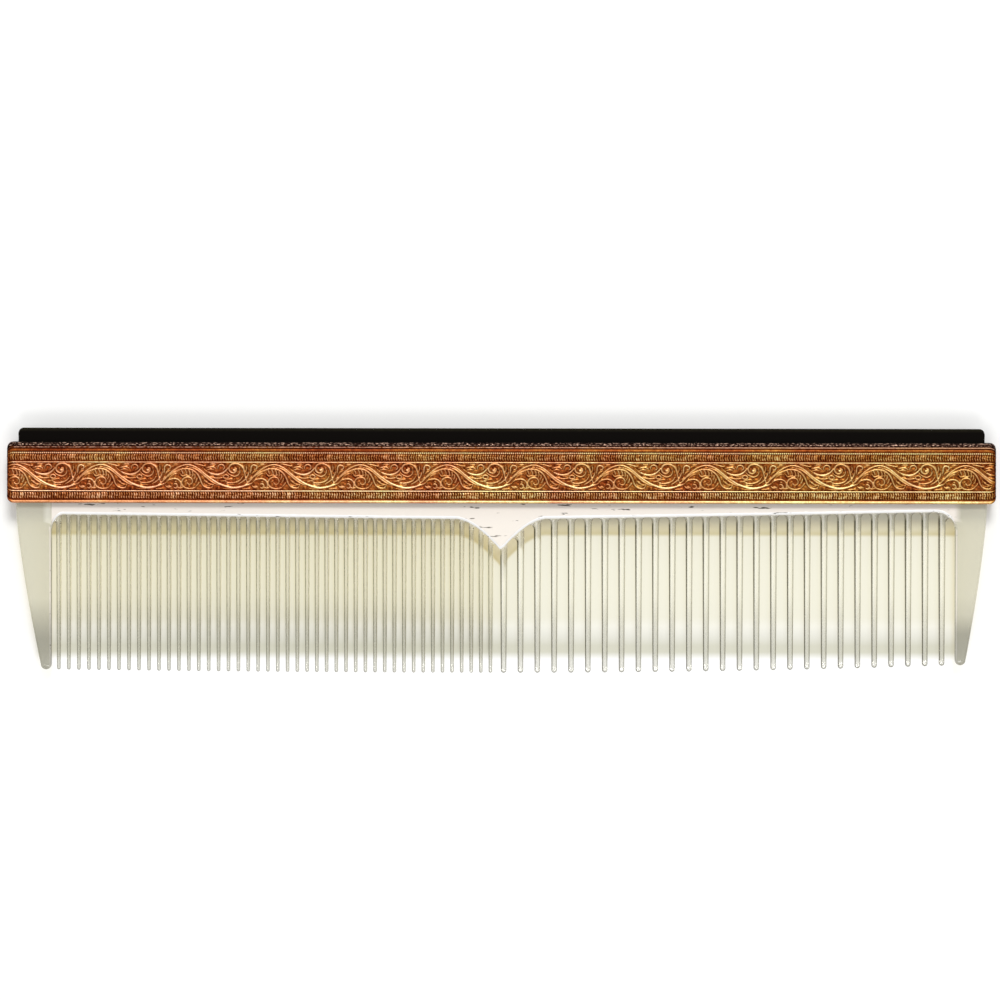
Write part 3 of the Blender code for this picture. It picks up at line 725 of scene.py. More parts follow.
@dataclass
class VineRelief:
    """The scrolling vine stamped along the panel: one motif, repeated end to end."""

    strokes: tuple[Stroke, ...] = VINE
    period: float = 15.74
    phase: float = -80.3
    columns: int = 160
    spacing: float = 0.05
    flatness: float = 0.62
    ground: float = 0.45
    outline: float = 0.1
    seed: int = 11

    def curve(self, stroke: Stroke) -> tuple[Array, Array]:
        """Sample a stroke densely.

        A Catmull-Rom curve through the stroke's points: between points 1 and 2
        it is half of 2*p1 + (p2-p0)*t + (2*p0-5*p1+4*p2-p3)*t^2 +
        (3*p1-p0-3*p2+p3)*t^3. The half width swells from the start's share to
        the full width at the middle, and back to the end's share, as a sine to
        the power 0.7.

        Args:
            stroke: the raised line.

        Returns:
            Points, n x 2, and the half width at each.
        """
        knots = np.array(stroke.points)
        knots = np.vstack((2 * knots[0] - knots[1], knots, 2 * knots[-1] - knots[-2]))
        steps = 12
        t = (np.arange(steps) / steps)[None, :, None]
        p0, p1, p2, p3 = (knots[n : len(knots) - 3 + n][:, None, :] for n in range(4))
        curve = 0.5 * (
            2 * p1 + (p2 - p0) * t + (2 * p0 - 5 * p1 + 4 * p2 - p3) * t**2 + (3 * p1 - p0 - 3 * p2 + p3) * t**3
        )
        curve = np.vstack((curve.reshape(-1, 2), knots[-2]))
        length = np.concatenate(([0], np.cumsum(np.hypot(*np.diff(curve, axis=0).T))))
        even = np.linspace(0, length[-1], max(8, int(length[-1] / self.spacing)))
        curve = np.stack([np.interp(even, length, curve[:, n]) for n in range(2)], -1)
        share = even / length[-1]
        ends = stroke.start + (stroke.end - stroke.start) * share
        return curve, stroke.width * (ends + (1 - ends) * np.sin(np.pi * share) ** 0.7)

    def tile(self, v: Array) -> Array:
        """Work out the relief over one repeat.

        At each grid point a stroke gives rise * (1 - (d / w)^2)^flatness, with
        d the distance to the stroke's line and w its half width there, and the
        highest stroke counts, so that lines meet in creases. Each stroke is
        also laid one repeat to either side.

        Between them the ground is pebbled, with seeded noise that is averaged
        three times with its neighbours and sinks to nothing beside a stroke.

        Args:
            v: heights above the panel's foot, in millimetres.

        Returns:
            Share of the full relief, as columns x heights.
        """
        u = np.arange(self.columns) * self.period / self.columns
        place = np.stack(np.meshgrid(u, v, indexing="ij"), -1).reshape(-1, 1, 2)
        relief, open_ground = np.zeros(len(place)), np.ones(len(place))
        for stroke in self.strokes:
            line, width = self.curve(stroke)
            for shift in (-self.period, 0.0, self.period):
                away = np.hypot(*np.moveaxis(place - (line + (shift, 0)), -1, 0))
                inside = np.clip(1 - (away / width).min(axis=1) ** 2, 0, 1)
                relief = np.maximum(relief, stroke.rise * inside**self.flatness)
                open_ground = np.minimum(open_ground, np.clip((away - width).min(axis=1) / self.outline, 0, 1))
        pebble = np.random.default_rng(self.seed).uniform(0, 1, (self.columns, len(v)))
        for axis in (0, 1, 0, 1, 0, 1):
            pebble = (pebble + np.roll(pebble, 1, axis) + np.roll(pebble, -1, axis)) / 3
        pebble = np.clip((pebble - pebble.min()) / np.ptp(pebble) * 1.4 - 0.2, 0, 1)
        pebble = self.ground * pebble * open_ground.reshape(pebble.shape)
        return np.maximum(relief.reshape(pebble.shape), pebble)


LOWER_ROWS = (
    # y, depth, wear, groove depth: the roll, its quirk, the flutes and the ridge line
    (0.00, 1.30, 0.30, 0.0), (0.00, 0.75, 0.45, 0.0), (0.00, 0.40, 0.65, 0.0), (0.03, 0.22, 0.75, 0.0),
    (0.10, 0.09, 0.82, 0.0), (0.20, 0.02, 0.86, 0.0), (0.33, 0.00, 0.86, 0.0), (0.44, 0.02, 0.80, 0.0),
    (0.53, 0.09, 0.62, 0.0), (0.60, 0.20, 0.35, 0.0), (0.68, 0.26, 0.10, 0.0), (0.78, 0.26, 0.05, 0.0),
    (0.84, 0.08, 0.48, 0.12), (1.00, 0.04, 0.70, 0.17), (1.20, 0.03, 0.74, 0.18), (1.42, 0.03, 0.74, 0.18),
    (1.63, 0.03, 0.74, 0.18), (1.84, 0.04, 0.70, 0.17), (1.98, 0.08, 0.43, 0.12),
    (2.04, 0.24, 0.10, 0.0), (2.10, 0.12, 0.50, 0.0), (2.17, 0.03, 1.00, 0.0), (2.25, 0.02, 1.05, 0.0),
    (2.32, 0.10, 0.60, 0.0), (2.38, 0.28, 0.10, 0.0), (2.43, 0.33, 0.05, 0.0),
)
UPPER_ROWS = (
    # y, depth, wear, groove depth, shaded shoulder (crimp share and painted shade): the ridge line and the flutes
    (7.28, 0.33, 0.05, 0.0, 0), (7.33, 0.12, 0.50, 0.0, 0), (7.40, 0.03, 0.86, 0.0, 0),
    (7.48, 0.03, 0.86, 0.0, 0), (7.56, 0.12, 0.40, 0.0, 0), (7.62, 0.25, 0.10, 0.0, 0),
    (7.72, 0.25, 0.10, 0.0, 0), (7.78, 0.08, 0.40, 0.10, 0), (7.95, 0.04, 0.58, 0.14, 0),
    (8.15, 0.03, 0.60, 0.15, 0), (8.35, 0.03, 0.60, 0.15, 0), (8.55, 0.03, 0.60, 0.15, 0),
    (8.75, 0.04, 0.58, 0.14, 0), (8.90, 0.08, 0.38, 0.10, 0),
    # the bed of the beads and the fillet
    (8.96, 0.24, 0.10, 0.0, 0), (9.01, 0.20, 0.30, 0.0, 0), (9.07, 0.20, 0.36, 0.0, 0),
    (9.13, 0.20, 0.36, 0.0, 0), (9.19, 0.20, 0.36, 0.0, 0), (9.25, 0.20, 0.36, 0.0, 0),
    (9.33, 0.21, 0.10, 0.0, 0), (9.38, 0.13, 0.22, 0.0, 0), (9.62, 0.10, 0.26, 0.0, 0),
    (9.88, 0.13, 0.22, 0.0, 0), (9.94, 0.26, 0.05, 0.0, 0), (10.02, 0.20, 0.20, 0.0, 0),
    # the thin ridge and the crimped shoulder, painted dark as shade
    (10.10, 0.08, 0.34, 0.0, 0.45), (10.18, 0.04, 0.38, 0.0, 0.55), (10.27, 0.10, 0.25, 0.0, 0.45),
    (10.34, 0.28, 0.05, 0.0, 0.5), (10.44, 0.30, 0.00, 0.0, 1), (10.52, 0.20, 0.12, 0.0, 1),
    (10.62, 0.16, 0.20, 0.0, 1), (10.72, 0.17, 0.06, 0.0, 1), (10.82, 0.20, 0.06, 0.0, 1),
    (10.92, 0.26, 0.20, 0.0, 1), (11.02, 0.38, 0.12, 0.0, 1), (11.11, 0.58, 0.00, 0.0, 1),
    (11.18, 0.85, 0.00, 0.0, 1), (11.20, 1.30, 0.00, 0.0, 1),
)


@dataclass
class Shell:
    """A gilt stamping over one side of the spine, made as three strips and two end walls.

    Each moulding is a table of rows, with a height, a depth below the face and
    the share that is rubbed bright there, carried along the comb, and the panel
    between them is an even grid. Flutes and crimps are cut into them, and beads
    and the vine raised from them, point by point.
    """

    face: Face
    finish: bpy.types.Material
    wall: float = 0.45
    rim_depth: float = 1.3
    back_depth: float = 0.75
    back_wear: float = 0.25
    end_wall: float = 0.8
    end_inset: float = 0.012
    end_depth: float = 0.7
    end_lap: float = 0.15
    end_wear: float = 0.2
    corner: float = 1.2
    nose: float = 0.35
    # painted shade: wear falls over this length at each rounded end
    shaded_end: float = 1.1
    panel_edges: tuple[float, float] = (2.36, 7.34)
    panel_rows: tuple[float, float, int] = (2.42, 7.30, 47)
    panel_depth: float = 0.30
    panel_sink: float = 0.04
    vine_foot: float = 2.46
    vine_height: float = 0.28
    flute_pitch: float = 0.45
    flute_sway: float = 0.07
    sway_length: float = 0.9
    groove_spread: tuple[float, float] = (0.5, 1.25)
    groove_dark: float = 6.4
    rub_spread: tuple[float, float] = (-1.9, 2.5)
    roll_dull: float = 0.3
    ridge_swing: float = 0.4
    bead_pitch: float = 0.36
    bead_y: float = 9.13
    bead_radius: float = 0.19
    crimp_depth: float = 0.06
    crimp_waves: tuple[tuple[float, float], ...] = ((0.62, 0.8), (0.97, -1.1), (1.73, 0.4))
    fine_step: float = 0.09
    seed: int = 7

    def __post_init__(self) -> None:
        """Take the shell's outer sizes from its CAD node, in millimetres."""
        low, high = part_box(self.node)
        bar_low, bar_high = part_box("spine_bar")
        self.middle_z = (bar_low.z + bar_high.z) / 2 / MM
        self.half_length = high.x / MM
        self.low_y = low.y / MM
        self.height = (high.y - low.y) / MM
        self.face_z = (high.z / MM if self.face is Face.FRONT else -low.z / MM) - self.face.value * self.middle_z
        self.rng = np.random.default_rng(self.seed)

    @property
    def node(self) -> str:
        """Name of the CAD node that the shell stands for."""
        return "front_shell" if self.face is Face.FRONT else "rear_shell"

    def inset(self, x: Array) -> Array:
        """How far the round corners draw the outline in at x: the rise of a quarter circle."""
        into = np.clip(np.abs(x) - (self.half_length - self.corner), 0, self.corner)
        return self.corner - np.sqrt(self.corner**2 - into**2)

    def place(self, x: Array, y: Array, depth: Array) -> Array:
        """Put profile points in the comb's frame.

        Y is squeezed about the strip's middle by the corner inset, Z is the
        face less the depth, and the rear shell is turned half round about Y.

        Args:
            x: along the comb, from the middle.
            y: above the lower edge.
            depth: below the face.

        Returns:
            Points in metres.
        """
        half = self.height / 2
        squeezed = half + (y - half) * (1 - self.inset(x) / half)
        side = self.face.value
        return np.stack((side * x, squeezed + self.low_y, side * (self.face_z - depth) + self.middle_z), -1) * MM

    def stations(self, step: float, phase: float = 0.0) -> Array:
        """Places along the shell: a step apart from the phase, then close together round the two ends.

        Args:
            step: distance between stations.
            phase: place that a station falls on.

        Returns:
            Places in order.
        """
        reach = self.half_length - self.nose
        first, last = math.ceil((-reach - phase) / step), math.floor((reach - phase) / step)
        tip = reach + self.nose * np.sin(np.linspace(0, np.pi / 2, 6))
        return np.concatenate((-tip[::-1], phase + step * np.arange(first, last + 1), tip))

    def end_drop(self, x: Array) -> Array:
        """Depth that the round ends add: nose - sqrt(nose^2 - into^2) over the last stretch."""
        into = np.clip(np.abs(x) - self.half_length + self.nose, 0, self.nose)
        return (self.nose - np.sqrt(self.nose**2 - into**2))[:, None]

    def flutes(self, x: Array, y: Array) -> Array:
        """Depth share of the grooves between flutes.

        (0.5 + 0.5 * cos(2 pi x' / pitch))^1.6, where x' sways from x by a sine
        of y, with each groove's depth drawn once from a seeded spread, as a
        worn die leaves it.

        Args:
            x: stations along the comb.
            y: profile heights.

        Returns:
            Share from 0 on a flute to about 1 in a groove, stations x rows.
        """
        swayed = x[:, None] + self.flute_sway * np.sin(2 * np.pi * y / self.sway_length)
        number = np.round(swayed / self.flute_pitch).astype(int)
        spread = self.rng.uniform(*self.groove_spread, number.max() - number.min() + 1)
        return (0.5 + 0.5 * np.cos(2 * np.pi * swayed / self.flute_pitch)) ** 1.6 * spread[number - number.min()]

    def rubbing(self, x: Array, y: Array) -> Array:
        """How much more or less each flute is rubbed.

        Seeded numbers stand a flute apart on every row, and between them the
        value runs straight: a * (1 - t) + b * t.

        Args:
            x: stations along the comb.
            y: profile heights.

        Returns:
            Numbers about a small mean, stations x rows.
        """
        way = (x - x[0]) / self.flute_pitch
        number = way.astype(int)
        spots = self.rng.uniform(*self.rub_spread, (number.max() + 2, len(y)))
        share = (way - number)[:, None]
        return spots[number] * (1 - share) + spots[number + 1] * share

    def strip(self, name: str, x: Array, y: Array, depth: Array, wear: Array, shaded_shoulder: Array, back: Array) -> None:
        """Build one strip: an outer profile carried along X, closed by a plain back.

        Towards each end its wear falls as 0.08 + 0.92 * way / shaded_end: painted shade where the ends round away.

        Args:
            name: piece name.
            x: stations along the comb.
            y: profile heights, one per outer row.
            depth: outer depths, stations x rows.
            wear: how far each outer point is rubbed bright, stations x rows.
            shaded_shoulder: share of painted shade on the shoulder, per outer row.
            back: (y, depth) of the back's points, from the last row round to the first.
        """
        count = len(back)
        columns = np.ones((len(x), 1))
        drop = self.end_drop(x)
        # painted shade towards the rounded ends
        edge = np.clip((self.half_length - np.abs(x)) / self.shaded_end, 0, 1)[:, None]
        depth, wear = depth + drop, wear * (0.08 + 0.92 * edge)
        all_y = np.concatenate((y, back[:, 0])) * columns
        all_depth = np.hstack((depth, back[:, 1] * columns))
        all_wear = np.hstack((wear, np.full((len(x), count), self.back_wear)))
        all_shaded_shoulder = np.concatenate((shaded_shoulder, np.zeros(count))) * columns
        points = self.place(x[:, None] * np.ones(all_y.shape[1]), all_y, all_depth)
        mesh = sweep_mesh(name, points, {"wear": all_wear, "shaded_shoulder": all_shaded_shoulder}, 80)
        add_piece(mesh, self.finish, "gilt_brass", self.node)

    def lower_strip(self) -> None:
        """Rolled edge, quirk, fluted border and ridge line below the panel.

        Wear is rub * (1 - roll_dull * roll) + groove * (rubbing - groove_dark *
        cut), where roll grows over the rolled edge towards the left end.
        """
        x = self.stations(self.fine_step)
        y, base, rub, groove = np.array(LOWER_ROWS).T
        cut = self.flutes(x, y)
        depth = base + groove * cut
        roll = (y < 0.7) * np.clip(-x / self.half_length - 0.4, 0, 0.6)[:, None]
        wear = rub * (1 - self.roll_dull * roll) + groove * (self.rubbing(x, y) - self.groove_dark * cut)
        back = np.array([(y[-1], self.back_depth), (self.wall, self.back_depth), (self.wall, self.rim_depth)])
        name = f"{self.node}_lower_moulding"
        self.strip(name, x, y, depth, np.clip(wear, 0, 1), np.zeros(len(y)), back)

    def panel_strip(self) -> None:
        """The vine panel between the two ridge lines, its edge rows sunk a little."""
        vine = VineRelief()
        step = vine.period / vine.columns
        x = self.stations(step, vine.phase)
        number = np.round((x - vine.phase) / step).astype(int)
        low, high = self.panel_edges
        y = np.concatenate(([low], np.linspace(*self.panel_rows), [high]))
        relief = vine.tile(y - self.vine_foot)[number % vine.columns]
        relief[:, [0, -1]] = 0
        depth = self.panel_depth - self.vine_height * relief
        depth[:, [0, -1]] += self.panel_sink
        wear = 0.03 + 0.9 * relief**0.95
        back = np.array([(high, self.back_depth), (low, self.back_depth)])
        self.strip(f"{self.node}_vine_panel", x, y, depth, wear, np.zeros(len(y)), back)

    def upper_strip(self) -> None:
        """Ridge, fluted border, bead row, fillet, thin ridge and the crimped shoulder.

        Wear is as on the lower strip, with the beads bright. The thin ridge's swings with the way along the comb,
        darker towards the left end and brighter towards the right, and the fillet's is darker towards the left. The
        shoulder's rows carry painted shade.
        """
        x = self.stations(self.fine_step)
        y, base, rub, groove, shaded_shoulder = np.array(UPPER_ROWS).T
        cut = self.flutes(x, y)
        bead = self.beads(x, y, self.bead_y, self.bead_radius)
        crimp = self.crimps(x, y, shaded_shoulder)
        depth = base + groove * cut - self.bead_radius * bead + self.crimp_depth * crimp
        ridge, fillet = (y > 10.05) & (y < 10.3), (y > 9.3) & (y < 9.9)
        way = x[:, None] / self.half_length
        rub = rub * (1 + self.ridge_swing * (ridge * way + fillet * np.minimum(way, 0)))
        wear = rub + groove * (self.rubbing(x, y) - self.groove_dark * cut) + bead
        inner = self.height - self.wall
        back = np.array([(inner, self.rim_depth), (inner, self.back_depth), (y[0], self.back_depth)])
        name = f"{self.node}_upper_moulding"
        self.strip(name, x, y, depth, np.clip(wear, 0, 1), shaded_shoulder, back)

    def beads(self, x: Array, y: Array, centre: float, radius: float) -> Array:
        """Row of half-round beads: sqrt(1 - (dx^2 + dy^2) / r^2), repeated along X."""
        dx = (x[:, None] + self.bead_pitch / 2) % self.bead_pitch - self.bead_pitch / 2
        return np.sqrt(np.clip(1 - (dx**2 + (y - centre) ** 2) / radius**2, 0, 1))

    def crimps(self, x: Array, y: Array, shaded_shoulder: Array) -> Array:
        """Uneven crimps across the shoulder.

        Three sine waves of unrelated lengths, each leaning with y, are summed
        and squeezed, 0.5 + sum / 3.2, so no two crimps are alike.

        Args:
            x: along the comb.
            y: profile heights.
            shaded_shoulder: 1 on the rows that are crimped, whose painted shade it also sets.

        Returns:
            Share of the crimp's depth, stations x rows.
        """
        phase = self.rng.uniform(0, 2 * np.pi, len(self.crimp_waves))
        waves = sum(
            np.sin(2 * np.pi * (x[:, None] + lean * y) / length + start)
            for (length, lean), start in zip(self.crimp_waves, phase)
        )
        return np.clip(0.5 + waves / 3.2, 0, 1) * shaded_shoulder

    def end_walls(self) -> None:
        """Close the two ends below the strips with plain walls, drawn in at the corners like the strips."""
        deep = self.face_z - self.end_lap
        for end, word in ((-1, "low"), (1, "high")):
            x = end * (self.half_length - self.end_wall + np.linspace(0, self.end_wall - self.end_inset, 7))
            y = np.array([0.0, 0.0, self.height, self.height]) * np.ones((len(x), 1))
            depth = np.array([deep, self.end_depth, self.end_depth, deep]) * np.ones((len(x), 1))
            looks = {"wear": np.full(depth.shape, self.end_wear), "shaded_shoulder": np.zeros(depth.shape)}
            rings = self.place(x[:, None] * np.ones(4), y, depth)
            add_piece(sweep_mesh(f"{self.node}_end_{word}", rings, looks, 40), self.finish, "gilt_brass", self.node)

    def build(self) -> None:
        """Build every piece of the shell."""
        self.lower_strip()
        self.panel_strip()
        self.upper_strip()
        self.end_walls()


@dataclass(frozen=True)
class ToothRow:
    """One run of like teeth between a guard and the split in the blade, in millimetres."""

    side: int
    guard_width: float
    count: int
    root_width: float
    tip_width: float
    root_depth: float
    end_depth: float
    end_rise: float
    drift: float
    corner_reach: float
    half_length: float = 88.6
    split_x: float = -1.1
    tip_reach: float = 30.9
    corner_drop: float = 3.4
    web_x: float = -0.1
    web_depth: float = 5.7
    web_half_width: float = 8.2

    @property
    def guard_x(self) -> float:
        """X of the guard's inner edge."""
        return self.side * (self.half_length - self.guard_width)

    @property
    def span(self) -> float:
        """Length from the split to the guard."""
        return abs(self.guard_x - self.split_x)

    def centres(self) -> Array:
        """X of each tooth from left to right: even steps from the split, less a sine that draws the middle back."""
        even = (self.span + self.root_width / 2) / (self.count + 0.5) * (np.arange(self.count) + 0.5)
        return np.sort(self.split_x + self.side * (even - self.drift * np.sin(np.pi * even / self.span)))

    def tip_y(self, x: Array | float) -> Array:
        """Y of the tips: the square of the way to the guard lifts the tip line."""
        return -self.tip_reach + self.end_rise * np.clip(np.abs(x - self.split_x) / self.span, 0, 1) ** 2

    def root_y(self, x: Array | float) -> Array:
        """Y of the root line.

        The depth runs from the split to the guard as the way there to the power
        1.2. A web, (1 - distance / half width)^1.7, deepens it at the split, and
        a quarter ellipse, 1 - sqrt(1 - (1 - distance / reach)^2), at the guard.

        Args:
            x: places along the blade.

        Returns:
            Y of the line at each place.
        """
        way = np.clip(np.abs(x - self.split_x) / self.span, 0, 1)
        depth = self.root_depth + (self.end_depth - self.root_depth) * way**1.2
        web = np.clip(1 - np.abs(x - self.web_x) / self.web_half_width, 0, 1)
        corner = np.clip(1 - np.abs(self.guard_x - x) / self.corner_reach, 0, 1)
        return -(depth + self.web_depth * web**1.7 + self.corner_drop * (1 - np.sqrt(1 - corner**2)))


FINE = ToothRow(
    side=-1, guard_width=6.5, count=45, root_width=0.98, tip_width=0.66,
    root_depth=2.9, end_depth=2.1, end_rise=0.5, drift=0.6, corner_reach=2.2,
)
COARSE = ToothRow(
    side=1, guard_width=5.8, count=27, root_width=1.35, tip_width=1.00,
    root_depth=2.9, end_depth=1.4, end_rise=1.5, drift=0.0, corner_reach=3.8,
)
BACKWARDS = np.array([1, 1, -1])  # turns a front point into the back's
ROUND_POINTS = 5  # points round each edge of a bar's front
FLAT = np.array([0.25, 0.5, 0.75])  # shares of the way across the flat between them
FRONT_POINTS = 2 * ROUND_POINTS + len(FLAT)


class Skin:
    """One closed surface, gathered from grids whose borders fall on each other."""

    def __init__(self) -> None:
        """Start with nothing."""
        self.points: list[Array] = []
        self.quads: list[Array] = []
        self.polygons: list[Array] = []
        self.total = 0

    def add_points(self, points: Array) -> int:
        """Add points.

        Args:
            points: places in millimetres, with x, y and z in the last axis.

        Returns:
            The number of the first of them.
        """
        first = self.total
        self.points.append(points.reshape(-1, 3))
        self.total += len(self.points[-1])
        return first

    def add_tubes(self, rings: Array) -> None:
        """Add closed tubes, open at their first ring and capped at their last.

        Args:
            rings: points as tubes x stations x ring points x 3, front from left to right, then back.
        """
        tubes, stations, around = rings.shape[:3]
        first = self.add_points(rings)
        number = first + np.arange(tubes * stations * around).reshape(tubes, stations, around)
        after = np.roll(number, -1, axis=2)
        quads = np.stack((number[:, :-1], number[:, 1:], after[:, 1:], after[:, :-1]), -1)
        self.quads.append(quads.reshape(-1, 4))
        self.polygons += list(number[:, -1, ::-1])

    def add_sheet(self, sections: Array, rows: int) -> None:
        """Add a folded sheet: up the front, over the top and down the back.

        Its two ends are closed by quads between front and back, and by two
        polygons round the step at the top.

        Args:
            sections: points as columns x section points x 3, from the front's foot to the back's.
            rows: how many of them lie on the front below the step.
        """
        columns, along = sections.shape[:2]
        first = self.add_points(sections)
        number = first + np.arange(columns * along).reshape(columns, along)
        quads = np.stack((number[:-1, :-1], number[1:, :-1], number[1:, 1:], number[:-1, 1:]), -1)
        self.quads.append(quads.reshape(-1, 4))
        for column, turn in ((number[0], 1), (number[-1], -1)):
            front, back = column[:rows], column[::-1][:rows]
            walls = np.stack((front[:-2], front[1:-1], back[1:-1], back[:-2]), -1)
            self.quads.append(walls[:, ::turn])
            step = column[rows : along - rows]
            self.polygons.append(
                np.array([front[-2], front[-1], step[0], step[-1], back[-1], back[-2]])[::turn]
            )
            self.polygons.append(step[::turn])

    def merged(self) -> tuple[Array, Array, list[Array]]:
        """Join points that fall within a tenth of a micrometre of each other.

        Returns:
            Points, quads and polygons of the joined surface.
        """
        points = np.vstack(self.points)
        grid = np.round(points * 1e4).astype(np.int64)
        _, first, place = np.unique(grid, axis=0, return_index=True, return_inverse=True)
        place = place.reshape(-1)
        return points[first], place[np.vstack(self.quads)], [place[polygon] for polygon in self.polygons]


@dataclass
class Blade:
    """The clear one-piece blade: teeth, guards, bevelled back and hidden tongue.

    Every tooth and guard is a tube carried from the arches at its root down to
    its tip. From the arches' tops up, the tubes run on as one sheet whose front
    and back join over the tongue, so the whole is a single closed skin.
    """

    finish: bpy.types.Material
    frame_half: float = 1.7
    bevel: float = 0.45
    relief: float = 0.4
    tip_half: float = 0.65
    even_to: float = -3.0
    guard_tip: float = 1.9
    shoulder_y: float = 1.0
    tongue_half: float = 0.9
    tongue_top: float = 8.6
    tongue_reach: float = 83.7
    arch_edge: float = 0.12
    round_x: float = 0.44
    round_z: float = 0.62
    counted: float = 2.0
    node: str = "comb_blade"

    def __post_init__(self) -> None:
        """Find the blade's middle plane and the shells' lower edge from the CAD nodes."""
        low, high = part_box(self.node)
        self.middle_z = (low.z + high.z) / 2
        self.edge_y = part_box("front_shell")[0].y

    def half_at(self, y: Array) -> Array:
        """Half thickness of the frame: even down to the root line, then straight down to the tips."""
        below = np.clip((self.even_to - y) / (FINE.tip_reach + self.even_to), 0, 1)
        return self.frame_half + (self.tip_half + self.relief - self.frame_half) * below

    def root_line(self, x: Array) -> Array:
        """Y of the root line along the whole blade."""
        return np.where(x < FINE.split_x, FINE.root_y(x), COARSE.root_y(x))

    def aside(self, x: Array) -> Array:
        """How far each place lies to the right of the nearest tooth's middle."""
        centres = np.concatenate((FINE.centres(), COARSE.centres()))
        return x - centres[np.searchsorted((centres[1:] + centres[:-1]) / 2, x)]

    def bevel_foot(self) -> Array:
        """Points close together along the root line and down each guard's inner edge.

        They are closest in the round corner beside a guard, in the first 4 mm.

        Returns:
            X and Y of the points in order of X, n x 2.
        """
        lines = []
        for row in (FINE, COARSE):
            out = np.concatenate((np.linspace(0, 1, 90) ** 2 * 4, np.linspace(4.05, row.span, 800)))
            x = row.guard_x - row.side * out
            lines.append(np.stack((x, row.root_y(x)), -1))
            down = np.linspace(float(row.root_y(row.guard_x)), -9.0, 60)
            lines.append(np.stack((np.full(60, row.guard_x), down), -1))
        lines = np.vstack(lines)
        return lines[np.argsort(lines[:, 0])]

    def risen(self, distance: Array) -> Array:
        """Share of the bevel's rise at a distance from its foot: 1 - (1 - d / bevel)^1.5."""
        return 1 - (1 - np.clip(distance / self.bevel, 0, 1)) ** 1.5

    def to_foot(self, x: Array, y: Array) -> Array:
        """Distance of grid points from the bevel's foot, up to the most that is counted.

        The grid is gone through in parts, each against the foot points near it.

        Args:
            x: places, columns x rows.
            y: places, columns x rows.

        Returns:
            Distances, columns x rows.
        """
        foot = self.bevel_foot()
        away = np.full(x.shape, self.counted)
        for part in np.array_split(np.arange(len(x)), 60):
            low = np.searchsorted(foot[:, 0], x[part].min() - self.counted)
            high = np.searchsorted(foot[:, 0], x[part].max() + self.counted)
            near = foot[low:high]
            if len(near):
                gap = np.hypot(x[part][..., None] - near[:, 0], y[part][..., None] - near[:, 1]).min(-1)
                away[part] = np.minimum(away[part], gap)
        return away

    def ring(self, left: Array, right: Array, round_x: Array, round_z: Array) -> tuple[Array, Array]:
        """Front of a bar's section, with round edges.

        Quarter ellipses, x = r (1 - cos) and drop = r (1 - sin), stand at both
        edges, with the flat's points between them.

        Args:
            left: X of the left side.
            right: X of the right side.
            round_x: width of each round edge.
            round_z: height of each round edge.

        Returns:
            X, and how far below the flat, of the front's points from left to right in a last axis.
        """
        turn = np.linspace(0, np.pi / 2, ROUND_POINTS)
        left, right, round_x, round_z = (v[..., None] for v in (left, right, round_x, round_z))
        start = left + round_x * (1 - np.cos(turn))
        stop = right - round_x * (1 - np.cos(turn[::-1]))
        middle = start[..., -1:] + (stop[..., :1] - start[..., -1:]) * FLAT
        drop = round_z * (1 - np.sin(turn))
        return (
            np.concatenate((start, middle, stop), -1),
            np.concatenate((drop, np.zeros_like(middle), drop[..., ::-1]), -1),
        )

    def tooth_cells(self, row: ToothRow) -> Array:
        """Front points of every tooth in a row.

        Down a tooth the stations are: the arch, a quarter circle from the
        cell's edge to the tooth's side; the tooth, straight from root width to
        tip width; and a round tip, whose width falls as a cosine and whose
        thickness falls as 0.35 + 0.65 * cosine.

        Args:
            row: the run of teeth.

        Returns:
            Points as teeth x stations x front points x 3, from the arches' tops down.
        """
        centre = row.centres()
        half, tip_half = row.root_width / 2, row.tip_width / 2
        outer = (centre[0 if row.side < 0 else -1] + row.side * half + row.guard_x) / 2
        edges = (outer, row.split_x) if row.side < 0 else (row.split_x, outer)
        bounds = np.concatenate((edges[:1], (centre[1:] + centre[:-1]) / 2, edges[1:]))
        left, right, centre = bounds[:-1, None], bounds[1:, None], centre[:, None]
        arch = np.radians([0, 12, 28, 48, 70, 90])
        down = np.array([0.02, 0.07, 0.1, 0.13, 0.3, 0.5, 0.7, 0.87, 1.0])
        tip = np.radians([25, 48, 68, 82])
        narrow = np.concatenate((half + (tip_half - half) * down, tip_half * np.cos(tip)))
        tip_y = row.tip_y(centre) + tip_half
        sides = []
        for edge, side in ((left, -1), (right, 1)):
            spring = side * (edge - centre) - half
            top = self.root_line(edge)
            x = np.hstack((edge - side * spring * np.sin(arch), centre + side * narrow))
            y = np.hstack((
                top - spring * (1 - np.cos(arch)), top - spring + (tip_y - top + spring) * down,
                tip_y - tip_half * np.sin(tip),
            ))
            sides.append((x, y))
        (x_left, y_left), (x_right, y_right) = sides
        width = x_right - x_left
        flat_end = np.concatenate((np.ones(len(arch) + len(down)), 0.35 + 0.65 * np.cos(tip)))
        soft = np.concatenate((np.sin(arch), np.ones(len(down) + len(tip))))
        thick = (self.half_at((y_left + y_right) / 2) - self.relief) * flat_end
        x, drop = self.ring(
            x_left, x_right,
            self.arch_edge + (self.round_x * width - self.arch_edge) * soft,
            self.arch_edge + (self.round_z * thick - self.arch_edge) * soft,
        )
        u = (x - x_left[..., None]) / width[..., None]
        y = y_left[..., None] * (1 - u) + y_right[..., None] * u
        bulge = (self.root_line(x[:, 0]) - y[:, 0])[:, None]
        y = y + bulge * np.concatenate((np.cos(arch), np.zeros(len(down) + len(tip))))[:, None]
        z = (self.half_at(y) - self.relief) * flat_end[:, None] - drop
        return np.stack((x, y, z), -1)

